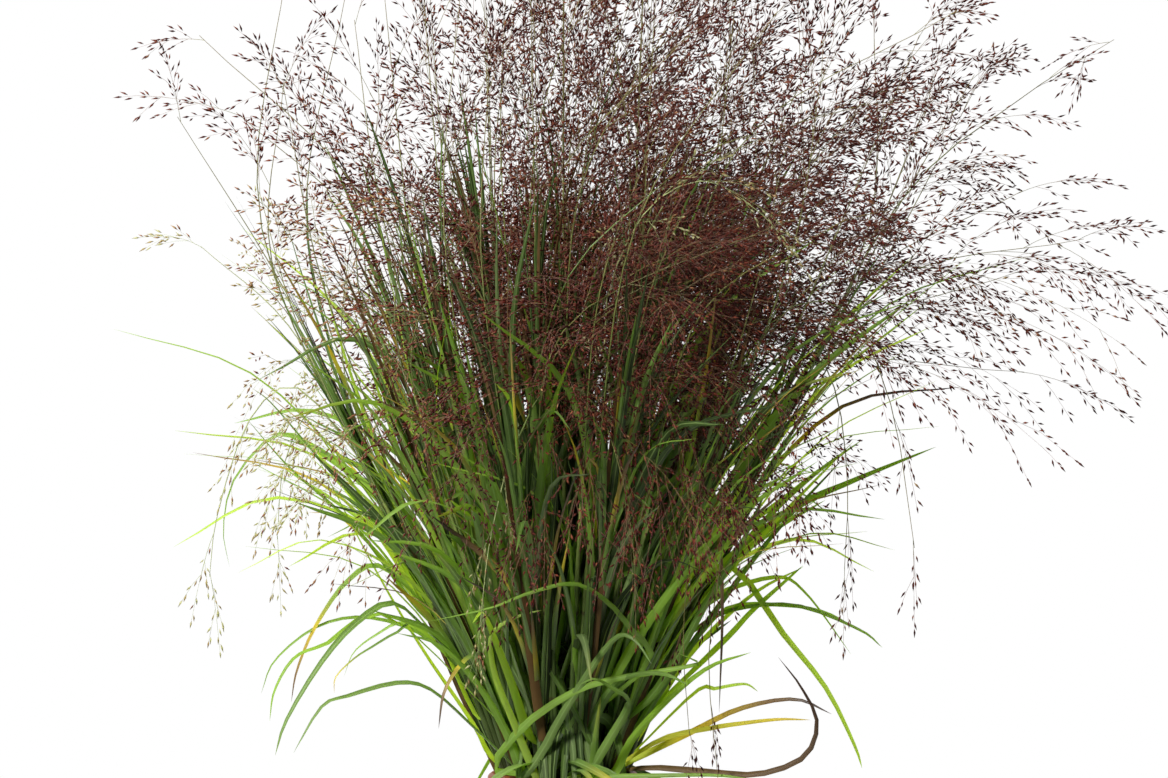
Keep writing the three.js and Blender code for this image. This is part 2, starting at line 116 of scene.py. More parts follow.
# %% [markdown]
# ## Camera, light and floor
#
# A clump like this is pictured against a bright white ground: most light comes from behind, so that
# thin blades glow and the inside of the clump goes nearly black. The world is a white studio that is
# bright behind the clump and dimmer on the camera's side of the room. Two soft lamps add direction, a
# large one high behind the clump's left side and a smaller, stronger one in front on the same side.
# The floor is pale paper that fades out to the white of the studio, so no line shows where they meet.

# %% A long lens, level with the middle of the crown's lower edge
CAMERA_DISTANCE, LENS = 3.0, 142.0  # metres, and millimetres
camera = new_object("camera", bpy.data.cameras.new("camera"))
camera.data.lens = LENS
camera.data.sensor_width = 36.0
camera.data.clip_end = 200.0
camera.location = (0.0133, -CAMERA_DISTANCE, 0.3744)
camera.rotation_euler = (math.radians(90), 0, 0)
bpy.context.scene.camera = camera
bpy.context.scene.view_settings.view_transform = "Standard"
print(f"the camera stands {CAMERA_DISTANCE} m away with a {LENS:.0f} mm lens")

# %% White surroundings, two soft lamps and a wide floor
world = bpy.data.worlds.new("white studio")
bpy.context.scene.world = world
world.use_nodes = True
tree = world.node_tree
BRIGHT_SIDE, DIM_SIDE = 1.1, 0.03  # light from behind the clump, and from the camera's side
toward = add(tree, "ShaderNodeTexCoord", out="Generated")
depth = add(tree, "ShaderNodeSeparateXYZ", [toward], out="Y")
room = add(tree, "ShaderNodeMapRange", [depth, -0.35, 0.55, DIM_SIDE, BRIGHT_SIDE])
seen = add(tree, "ShaderNodeLightPath", out="Is Camera Ray")
strength = add(tree, "ShaderNodeMix", {0: seen, 2: room, 3: 1.0}, data_type="FLOAT")
fill_in(tree.nodes["Background"], {"Strength": strength, "Color": colour("#ffffff")})

LAMPS = [  # name, place, metres across, watts
    ("lamp behind", (-1.3, 1.6, 1.9), 1.6, 40),
    ("lamp in front", (-1.3, -2.1, 1.9), 0.5, 125),
]
CROWN_SPOT = Vector((0.03, 0, 0.36))  # where both lamps point
for name, place, size, watts in LAMPS:
    lamp = new_object(name, bpy.data.lights.new(name, "AREA"))
    lamp.data.size, lamp.data.energy = size, watts
    lamp.location = place
    lamp.rotation_euler = (CROWN_SPOT - Vector(place)).to_track_quat("-Z", "Y").to_euler()

FLOOR_HALF, FLOOR_DROP = 40.0, 0.0005  # metres; it lies just under the pot's foot
floor_mesh = bpy.data.meshes.new("floor")
corners = [(x * FLOOR_HALF, y * FLOOR_HALF, -FLOOR_DROP) for x, y in ((-1, -1), (1, -1), (1, 1), (-1, 1))]
floor_mesh.from_pydata(corners, [], [(0, 1, 2, 3)])
floor = new_object("floor", floor_mesh)
paper, tree, shader = new_material("matt white paper")
# Matt paper scatters light evenly, so the floor shows no glare, only the pot's soft shadow.
fill_in(shader, {"Base Color": colour("#f7f6f4"), "Roughness": 0.9})
place = add(tree, "ShaderNodeTexCoord", out="Object")
away = add(tree, "ShaderNodeVectorMath", [place], out="Value", operation="LENGTH")
fade = add(tree, "ShaderNodeMapRange", [away, 0.3, 1.3, 0.0, 1.0], interpolation_type="SMOOTHSTEP")
glow = add(tree, "ShaderNodeEmission", {"Color": colour("#ffffff"), "Strength": 1.0})
mixed = add(tree, "ShaderNodeMixShader", [fade, shader.outputs[0], glow])
fill_in(tree.nodes["Material Output"], {"Surface": mixed})
floor.data.materials.append(paper)
floor.visible_diffuse = False  # the studio's own light stands for what the floor would throw back
print("stage: floor", 2 * FLOOR_HALF, "m wide,", len(LAMPS), "lamps")

# %% [markdown]
# ## Where the stems stand
#
# The culms of a clump spread like the ribs of a fan, from one point in the root ball. They stand in
# rings: one in the middle, then six, nine and twelve. The outer ones also bend outwards as they rise.
# The solids were laid out by this rule, and repeating it here puts every finer piece on its own stem.

# %% The clump's measures and its stems
RIM, SOIL_TOP = 125.0, 113.0
FAN_POINT = Vector((0, 0, 23.0))
FAN_DEPTH = SOIL_TOP - FAN_POINT.z
RINGS = [(1, 0, 292), (6, 12, 282), (9, 23.5, 256), (12, 34.5, 214)]  # stems, radius, height above the soil
OUTER_BEND = (10, 26, 250)  # from this height, this far out, over this rise
CROWN_MIDDLE, CROWN_RISE, CROWN_OFFSET, CROWN_ROUNDNESS = 290, 255, 55, 2.5
CROWN_HALF_WIDTH, CROWN_HALF_DEPTH = 350, 285
FINE_ROUNDNESS = 3.4  # a squarer dome: the younger shoots fill the crown's shoulders too
GOLDEN_ANGLE = math.radians(137.5)

Stem = namedtuple("Stem", "ring place azimuth foot height")
Stem.outer = property(lambda stem: stem.ring == len(RINGS) - 1)


def leaning(azimuth, lean):
    """A direction that leans away from the vertical towards an azimuth."""
    return Vector((math.sin(lean) * math.cos(azimuth), math.sin(lean) * math.sin(azimuth), math.cos(lean)))


def level(azimuth):
    """The level direction towards an azimuth."""
    return leaning(azimuth, math.pi / 2)


def lerp(low, high, share):
    return low + (high - low) * share


def clamp(value):
    return min(1.0, max(0.0, value))


stems = []
for ring, (count, radius, height) in enumerate(RINGS):
    for place in range(count):
        azimuth = 2 * math.pi * (place + 0.5) / count
        foot = Vector((radius * math.cos(azimuth), radius * math.sin(azimuth), SOIL_TOP))
        stems.append(Stem(ring, place, azimuth, foot, height))
print(len(stems), "stems in", len(RINGS), "rings")


def stem_at(stem, height):
    """The middle of a stem at a height."""
    place = FAN_POINT.lerp(stem.foot, (height - FAN_POINT.z) / FAN_DEPTH)
    start, out, over = OUTER_BEND
    bent = height - SOIL_TOP - start
    if stem.outer and bent > 0:
        place += level(stem.azimuth) * out * (bent / over) ** 2
    return place


def crown_reach(azimuth):
    """How far the crown reaches from the pot's axis in a direction seen from above."""
    wide, deep = CROWN_HALF_WIDTH * math.cos(azimuth), CROWN_HALF_DEPTH * math.sin(azimuth)
    return CROWN_OFFSET * math.cos(azimuth) + math.hypot(wide, deep)


def crown_elevation(place):
    """How high a place stands in the crown, in radians, seen from the crown's middle."""
    return math.atan2(place.z - RIM - CROWN_MIDDLE, math.hypot(place.x, place.y))


def under_dome(place, fill=1.0, roundness=CROWN_ROUNDNESS):
    """Draws a place that lies beyond the crown's dome back onto it."""
    middle = Vector((0, 0, RIM + CROWN_MIDDLE))
    out = place - middle
    spread_out = math.hypot(out.x, out.y) / crown_reach(math.atan2(out.y, out.x))
    risen = max(0.0, out.z) / CROWN_RISE
    share = (spread_out**roundness + risen**roundness) ** (1 / roundness) / fill
    return middle + out / share if share > 1 else place

# %% [markdown]
# ## Curves and threads
#
# Leaves, culms and branches are all drawn the same way: a smooth line through a few points, kept as a
# chain of mesh edges with the values that its later surface needs at each point, such as its width.
# Geometry Nodes read those values as named attributes. A chain is far lighter to make in a script than
# a surface, and one tree of nodes then gives every chain its surface by the same rule.

# %% Smooth lines, and chains that carry values
def smooth_line(points, steps):
    """Places on a curve through the points, at even shares of it."""
    held = [2 * points[0] - points[1], *points, 2 * points[-1] - points[-2]]
    line = []
    for i in range(steps + 1):
        along = i / steps * (len(points) - 1)
        first = min(int(along), len(points) - 2)
        t = along - first
        a, b, c, d = held[first : first + 4]
        bend, turn = 2 * a - 5 * b + 4 * c - d, 3 * b - a - 3 * c + d
        line.append(0.5 * (2 * b + (c - a) * t + bend * t**2 + turn * t**3))
    return line


def directions(line):
    """The direction of a line at each of its places."""
    ends = [line[0]] + line + [line[-1]]
    return [(ends[i + 2] - ends[i]).normalized() for i in range(len(line))]


class Threads:
    """Chains of points, which carry every value of this list at each point."""

    KINDS = {
        "half_width": "FLOAT", "flat": "FLOAT_VECTOR", "along": "FLOAT", "tint": "FLOAT", "dry": "FLOAT",
        "strip": "FLOAT", "kind": "FLOAT", "heading": "FLOAT_VECTOR", "size": "FLOAT",
    }

    def __init__(self):
        self.places, self.edges, self.strips = [], [], 0
        self.values = {name: [] for name in self.KINDS}

    def point(self, place, **values):
        self.places.append(place * MM)
        for name, kind in self.KINDS.items():
            self.values[name].append(values.get(name, 0.0 if kind == "FLOAT" else UP))

    def chain(self, line, half_widths, flats, kind, **values):
        """A chain along a line. A value may be one number or a list with one for each point."""
        first = len(self.places)
        for i, place in enumerate(line):
            here = {name: v[i] if isinstance(v, list) else v for name, v in values.items()}
            self.point(place, half_width=half_widths[i] * MM, flat=flats[i], kind=kind, **here)
        self.edges += [(first + i, first + i + 1) for i in range(len(line) - 1)]

    def to_object(self, name):
        mesh = bpy.data.meshes.new(name)
        mesh.from_pydata(self.places, self.edges, [])
        for label, kind in self.KINDS.items():
            data, numbers = mesh.attributes.new(label, kind, "POINT").data, self.values[label]
            if kind == "FLOAT_VECTOR":
                data.foreach_set("vector", [number for vector in numbers for number in vector])
            else:
                data.foreach_set("value", numbers)
        return new_object(name, mesh)

# %% [markdown]
# ## A tree that gives chains their surface
#
# A blade, a culm and a branch are the same idea: a section carried along a line, scaled as it goes. The
# section is a circle with a few sides. Pressed flat and lifted at its edges it is the shallow gutter of
# a grass blade, and left round it is a culm. Each chain also gets a strip of the texture map called
# OFBake: across the strip runs the section, and along it the length, so a pattern can follow the leaf.

# %% Swept surfaces in Geometry Nodes
BLADE, CULM, BRANCH, SPIKELET = 0.0, 1.0, 2.0, 3.0  # the kinds of chain
CARRIED = "GeometryNodeInputNamedAttribute"  # reads a value that the chains carry
STORE = "GeometryNodeStoreNamedAttribute"  # writes one


def is_kind(tree, kind):
    """True at the points of one kind of chain."""
    inputs = {0: add(tree, CARRIED, ["kind"]), 1: kind, 12: 0.1}
    return add(tree, "FunctionNodeCompare", inputs, operation="EQUAL")


def swept(tree, lines, kind, sides, flatness, lift, material):
    """The surface of every chain of one kind."""
    curve = add(tree, "GeometryNodeMeshToCurve", {"Mesh": lines, "Selection": is_kind(tree, kind)})
    side = {"Curve": curve, "Normal": add(tree, CARRIED, ["flat"], data_type="FLOAT_VECTOR")}
    turned = add(tree, "GeometryNodeSetCurveNormal", side, mode="FREE")
    circle = add(tree, "GeometryNodeCurvePrimitiveCircle", {"Resolution": sides, "Radius": 1.0})
    corner = add(tree, "ShaderNodeSeparateXYZ", [add(tree, "GeometryNodeInputPosition")], out=None).outputs
    circle = add(tree, STORE, {"Geometry": circle, "Name": "across", "Value": corner["X"]})
    pressed = add(tree, "ShaderNodeMath", [corner["Y"], flatness], operation="MULTIPLY")
    squared = add(tree, "ShaderNodeMath", [corner["X"], corner["X"]], operation="MULTIPLY")
    raised = add(tree, "ShaderNodeMath", [squared, lift, pressed], operation="MULTIPLY_ADD")
    place = add(tree, "ShaderNodeCombineXYZ", [corner["X"], raised, 0.0])
    section = add(tree, "GeometryNodeSetPosition", {"Geometry": circle, "Position": place})
    sweep = {"Curve": turned, "Profile Curve": section, "Scale": add(tree, CARRIED, ["half_width"])}
    mesh = add(tree, "GeometryNodeCurveToMesh", sweep | {"Fill Caps": True})
    return add(tree, "GeometryNodeSetMaterial", {"Geometry": mesh, "Material": material})


STRIP_SHARE = 0.44  # of its strip of the map, to either side of the strip's middle


def mapped(tree, geometry, strips, share_low, share_high):
    """Lays each chain in its own strip of the map OFBake, between two heights of the map."""
    strip, across, along = (add(tree, CARRIED, [name]) for name in ("strip", "across", "along"))
    middle = add(tree, "ShaderNodeMath", [strip, 0.5], operation="ADD")
    inside = add(tree, "ShaderNodeMath", [across, STRIP_SHARE, middle], operation="MULTIPLY_ADD")
    u = add(tree, "ShaderNodeMath", [inside, strips], operation="DIVIDE")
    v = add(tree, "ShaderNodeMath", [along, share_high - share_low, share_low], operation="MULTIPLY_ADD")
    uv = {"Geometry": geometry, "Name": "OFBake", "Value": add(tree, "ShaderNodeCombineXYZ", [u, v])}
    return add(tree, STORE, uv, data_type="FLOAT2", domain="CORNER")


def new_tree(name, sizes):
    """A Geometry Nodes tree with one geometry in, one out, and a named input for each size."""
    tree = bpy.data.node_groups.new(name, "GeometryNodeTree")
    tree.interface.new_socket("Geometry", in_out="INPUT", socket_type="NodeSocketGeometry")
    for label, value in sizes.items():
        kind = "NodeSocketInt" if isinstance(value, int) else "NodeSocketFloat"
        tree.interface.new_socket(label, in_out="INPUT", socket_type=kind)
    tree.interface.new_socket("Geometry", in_out="OUTPUT", socket_type="NodeSocketGeometry")
    return tree, add(tree, "NodeGroupInput", out=None).outputs


def grown(obj, tree, sizes):
    """Runs a tree on an object and keeps the result as the object's plain mesh."""
    modifier = obj.modifiers.new(tree.name, "NODES")
    modifier.node_group = tree
    for item in tree.interface.items_tree:
        if item.in_out == "INPUT" and item.name in sizes:
            modifier[item.identifier] = sizes[item.name]
    depsgraph = bpy.context.evaluated_depsgraph_get()
    mesh = bpy.data.meshes.new_from_object(
        obj.evaluated_get(depsgraph), preserve_all_data_layers=True, depsgraph=depsgraph
    )
    obj.modifiers.clear()
    chains, obj.data = obj.data, mesh
    bpy.data.meshes.remove(chains)
    return obj

# %% [markdown]
# ## Leaf and culm
#
# A switchgrass blade is a thin strip, 3 to 12 mm wide. Dozens of fine parallel veins run its length
# under a pale midrib, its skin is half glossy, and light comes through it, so blades against the light
# turn from deep green to lime. Old tips dry to straw and then brown. The material reads the place
# across and along the blade for veins, midrib and dry tip, and one number a blade for its green. A
# translucent share stands for the light that passes through.

# %% Leaf skin: living grass, half gloss, with parallel veins and a pale midrib
leaf_skin, tree, shader = new_material("grass blade")
tint, dryness, across, along, strip = (
    add(tree, "ShaderNodeAttribute", out="Fac", attribute_name=name)
    for name in ("tint", "dry", "across", "along", "strip")
)
blade_place = add(tree, "ShaderNodeCombineXYZ", [across, along, strip])

# The dark end of these greens, which blades deep in the clump and old sheaths take, is painted shade; the
# lime end, which most blades at the clump's two sides take, is painted light shining through them.
GREENS = [(0, "#10160b"), (0.25, "#34471e"), (0.5, "#68862f"), (0.75, "#98bb3a"), (1, "#c2da4a")]
green = add(tree, "ShaderNodeValToRGB", [tint], stops=GREENS)
# Blotches 20 to 40 mm long and narrow across, as a blade grows unevenly.
stretched = add(tree, "ShaderNodeMapping", {0: blade_place, 3: (0.9, 7.0, 3.1)})
blotches = add(tree, "ShaderNodeTexNoise", {"Vector": stretched, "Scale": 1.0, "Detail": 3.0}, out="Fac")
mottle = add(tree, "ShaderNodeMapRange", [blotches, 0.3, 0.7, 0.72, 1.28])
mottled = add(tree, "ShaderNodeHueSaturation", {"Color": green, "Saturation": 0.92, "Value": mottle})
# Veins stand 0.35 mm apart on the real blade; 8 across a blade are the most that a close look resolves.
vein_wave = add(tree, "ShaderNodeMath", [across, 25.0], operation="MULTIPLY")
vein = add(tree, "ShaderNodeMath", [vein_wave], operation="COSINE")
vein = add(tree, "ShaderNodeMapRange", [vein, -1.0, 1.0, 0.0, 0.1])
veined = add(tree, "ShaderNodeMix", {0: vein, 6: mottled, 7: colour("#93c04e")}, out=2, data_type="RGBA")
off_middle = add(tree, "ShaderNodeMath", [across], operation="ABSOLUTE")
rib = add(tree, "ShaderNodeMapRange", [off_middle, 0.05, 0.16, 0.55, 0.0])
ribbed = add(tree, "ShaderNodeMix", {0: rib, 6: veined, 7: colour("#b2d07c")}, out=2, data_type="RGBA")
STRAWS = [(0, "#93a63a"), (0.3, "#e0cf3c"), (0.42, "#cdb548"), (0.7, "#85683c"), (1, "#3c2918")]
straw = add(tree, "ShaderNodeValToRGB", [dryness], stops=STRAWS)
dry_share = add(tree, "ShaderNodeMapRange", [dryness, 0.02, 0.3, 0.0, 1.0])
# A thin bluish bloom of wax dulls some blades to sage; the sage is also painted sheen, so lighter blades get
# it.
chance = add(tree, "ShaderNodeTexWhiteNoise", {"W": strip}, out="Value", noise_dimensions="1D")
bloom = add(tree, "ShaderNodeMapRange", [chance, 0.4, 1.0, 0.0, 0.5])
lit = add(tree, "ShaderNodeMapRange", [tint, 0.16, 0.34, 0.0, 1.0])
wax_and_sheen = add(tree, "ShaderNodeMath", [bloom, lit], operation="MULTIPLY")
waxed_and_sheened = add(tree, "ShaderNodeMix", {0: wax_and_sheen, 6: ribbed, 7: colour("#95a272")}, out=2, data_type="RGBA")
finished = add(tree, "ShaderNodeMix", {0: dry_share, 6: waxed_and_sheened, 7: straw}, out=2, data_type="RGBA")
gloss = add(tree, "ShaderNodeMapRange", [blotches, 0.3, 0.7, 0.42, 0.58])
sheen = add(tree, "ShaderNodeMapRange", [tint, 0.08, 0.4, 0.1, 0.6])
# Light that comes through a blade: young lime ones let most through, deep green and dead ones little.
glow = add(tree, "ShaderNodeValToRGB", [tint], stops=[(0, "#587a20"), (0.4, "#a8d23c"), (1, "#e8f878")])
glowing = add(tree, "ShaderNodeMix", {0: dry_share, 6: glow, 7: straw}, out=2, data_type="RGBA")
passing = add(tree, "ShaderNodeBsdfTranslucent", {"Color": glowing})
through = add(tree, "ShaderNodeMapRange", [tint, 0.15, 0.75, 0.12, 0.62])
through = add(tree, "ShaderNodeMath", [dryness, -0.5, through], operation="MULTIPLY_ADD", use_clamp=True)
living = add(tree, "ShaderNodeMixShader", [through, shader.outputs[0], passing])
ridges = add(tree, "ShaderNodeBump", {"Height": vein, "Distance": 0.0003, "Strength": 0.15})
fill_in(shader, {"Base Color": finished, "Roughness": gloss, "IOR": 1.42, "Normal": ridges})
fill_in(shader, {"Specular IOR Level": sheen})
fill_in(tree.nodes["Material Output"], {"Surface": living})

# %% Culm skin: a waxy cane wrapped in leaf sheaths, brown at the joints
culm_skin, tree, shader = new_material("waxy culm")
joint, along, across = (
    add(tree, "ShaderNodeAttribute", out="Fac", attribute_name=name) for name in ("dry", "along", "across")
)
CANES = [(0, "#3a281a"), (0.12, "#35401d"), (0.5, "#4d642b"), (1, "#7d8c44")]
cane = add(tree, "ShaderNodeValToRGB", [along], stops=CANES)
rib_wave = add(tree, "ShaderNodeMath", [across, 22.0], operation="MULTIPLY")
rib = add(tree, "ShaderNodeMath", [rib_wave], operation="COSINE")
rib = add(tree, "ShaderNodeMapRange", [rib, -1.0, 1.0, 0.0, 0.1])
lined = add(tree, "ShaderNodeMix", {0: rib, 6: cane, 7: colour("#a8b27c")}, out=2, data_type="RGBA")
jointed = add(tree, "ShaderNodeMix", {0: joint, 6: lined, 7: colour("#4b4a28")}, out=2, data_type="RGBA")
fill_in(shader, {"Base Color": jointed, "Roughness": 0.6, "IOR": 1.38, "Specular IOR Level": 0.2})

# %% Spikelet husk and hair branch: dry maroon glumes on wiry green-to-wine branches
husk, tree, shader = new_material("ripe spikelet husk")
tint, along = (add(tree, "ShaderNodeAttribute", out="Fac", attribute_name=name) for name in ("tint", "along"))
HUSKS = [(0, "#300907"), (0.25, "#521a12"), (0.5, "#7a3d2a")]  # ripe
HUSKS += [(0.7, "#b48058"), (0.85, "#cdbb84"), (1, "#dfe0b4")]  # young
body = add(tree, "ShaderNodeValToRGB", [tint], stops=HUSKS)
# The glumes part at the tip and show their paler, papery edge.
edge = add(tree, "ShaderNodeMapRange", [along, 0.55, 1.0, 0.0, 0.26])
tipped = add(tree, "ShaderNodeMix", {0: edge, 6: body, 7: colour("#b98f7c")}, out=2, data_type="RGBA")
base = add(tree, "ShaderNodeMapRange", [along, 0.0, 0.3, 0.35, 0.0])
husked = add(tree, "ShaderNodeMix", {0: base, 6: tipped, 7: colour("#8d6a3c")}, out=2, data_type="RGBA")
fill_in(shader, {"Base Color": husked, "Roughness": 0.6, "IOR": 1.38, "Specular IOR Level": 0.15})
# Young pale husks are thin as paper and let light through.
thin = add(tree, "ShaderNodeMapRange", [tint, 0.45, 0.95, 0.0, 0.6])
passing = add(tree, "ShaderNodeBsdfTranslucent", {"Color": husked})
papery = add(tree, "ShaderNodeMixShader", [thin, shader.outputs[0], passing])
fill_in(tree.nodes["Material Output"], {"Surface": papery})

hair, tree, shader = new_material("wiry branch")
tint, along = (add(tree, "ShaderNodeAttribute", out="Fac", attribute_name=name) for name in ("tint", "along"))
# Wine-pink at the tips is the branches' own colour, lightened to also paint the highlights that hair-thin
# strings catch.
STALKS = [(0, "#6f863c"), (0.4, "#7f6f3e"), (0.75, "#7e4e40"), (1, "#8c5c52")]
stalk = add(tree, "ShaderNodeValToRGB", [along], stops=STALKS)
young = add(tree, "ShaderNodeMapRange", [tint, 0.3, 0.85, 0.0, 1.0])
pale = add(tree, "ShaderNodeMix", {0: young, 6: stalk, 7: colour("#a9b274")}, out=2, data_type="RGBA")
fill_in(shader, {"Base Color": pale, "Roughness": 0.5, "IOR": 1.45})
print("materials:", leaf_skin.name, culm_skin.name, husk.name, hair.name, sep=", ")

# %% [markdown]
# ## Blades
#
# Each stem keeps the blades that its solid has: those given by the growing rule, with the same stream
# of random numbers, and those that stand out and are placed one by one. Between them it gets more
# blades of a few kinds, because a real clump has many hundreds: long ones that fan out, narrow upright
# ones among the panicles, broad ones low down and in front, old sheaths, and some over the pot's rim.
# A blade is a line for its midrib, a width that swells and runs out to a point, and a slow twist.

# %% The stream of random numbers that the solids were grown with
WORD = 0xFFFFFFFF


def random_stream(seed):
    """A function that gives the next number from 0 to 1 at each call."""
    state = seed & WORD

    def draw():
        nonlocal state
        state = (state + 0x6D2B79F5) & WORD
        mixed = ((state ^ (state >> 15)) * (state | 1)) & WORD
        mixed ^= (mixed + (((mixed ^ (mixed >> 7)) * (mixed | 61)) & WORD)) & WORD
        return ((mixed ^ (mixed >> 14)) & WORD) / (WORD + 1)

    return draw


def spread(draw, low, high):
    return low + (high - low) * draw()

# %% Blades that stand out
# Stem azimuth, width, green, how dry the tip is, and the places that the midrib passes: X, Y, height
# above the rim. A pair in place of the dry tip gives the dryness of the root and of the tip.
STANDING_OUT = [
    (195, 7, 0.62, 0.0, [(-97, -26, 110), (-134, -36, 160), (-175, -47, 198), (-203, -54, 231)]),
    (195, 6, 0.7, 0.9, [(-116, -34, 134), (-138, -40, 126), (-158, -46, 98), (-170, -50, 70),
        (-174, -52, 49)]),
    (195, 5, 0.6, 0.1, [(-91, -24, 90), (-126, -36, 102), (-157, -44, 97), (-184, -52, 76), (-193, -55, 55)]),
    (165, 9, 0.66, 0.0, [(-108, 28, 160), (-130, 34, 185), (-167, 44, 211), (-191, 50, 218), (-218, 57, 190),
        (-226, 60, 157), (-222, 60, 131)]),
    (165, 5, 0.8, 0.6, [(-97, 26, 111), (-115, 31, 133), (-147, 39, 164), (-169, 44, 168)]),
    (165, 6, 0.7, 0.2, [(-86, 22, 84), (-106, 28, 95), (-122, 33, 88), (-138, 38, 76), (-145, 40, 60)]),
    (225, 7, 0.5, 0.2, [(-84, -60, 92), (-108, -76, 113), (-131, -90, 101), (-152, -102, 77),
        (-173, -112, 42), (-180, -116, 20)]),
    (225, 7, 0.48, 0.0, [(-60, -44, 34), (-85, -58, 57), (-106, -70, 62), (-136, -88, 55), (-152, -98, 49),
        (-169, -108, 21)]),
    (225, 5, 0.5, 1.0, [(-50, -52, 80), (-62, -62, 77), (-75, -72, 58), (-79, -76, 34)]),
    (255, 8, 0.86, 0.0, [(-22, -52, 30), (-32, -76, 62), (-44, -100, 96), (-50, -118, 110),
        (-56, -140, 104)]),
    (285, 8, 0.45, 0.0, [(13, -46, 22), (26, -66, 52), (40, -92, 68), (62, -124, 72), (78, -146, 66)]),
    (285, 10, 0.3, 0.25, [(10, -50, 52), (10, -84, 92), (14, -112, 90), (18, -128, 66)]),
    (345, 6.5, 0.88, 0.1, [(84, -22, 112), (109, -30, 134), (141, -40, 92), (168, -48, 58), (186, -54, 22),
        (191, -56, 7)]),
    (345, 8, 0.66, 0.0, [(92, -22, 118), (128, -32, 162), (160, -40, 193), (192, -46, 217)]),
    (345, 5, 0.6, 0.0, [(86, -24, 94), (110, -30, 107), (150, -40, 110), (190, -50, 95), (204, -54, 84)]),
    (15, 9, 0.6, 0.0, [(96, 24, 124), (148, 36, 168), (190, 46, 188), (247, 58, 211)]),
    (15, 8, 0.7, 0.0, [(84, 22, 102), (108, 30, 133), (140, 38, 157), (173, 46, 176)]),
    (15, 5, 0.72, 0.1, [(96, 26, 112), (139, 40, 125), (160, 46, 114), (190, 54, 74)]),
    (315, 6, 0.95, (0.12, 1.3), [(50, -38, 14), (82, -60, 31), (112, -80, 47), (146, -96, 54),
        (169, -104, 45)]),
    (315, 6, 0.6, (0.85, 1.1), [(56, -44, 7), (93, -66, 6), (124, -84, 6), (152, -98, 18), (160, -102, 40),
        (150, -98, 62), (136, -92, 80)]),
    (315, 6, 0.42, 1.1, [(70, -56, 140), (84, -66, 196), (96, -74, 181), (101, -78, 118), (99, -78, 44)]),
]
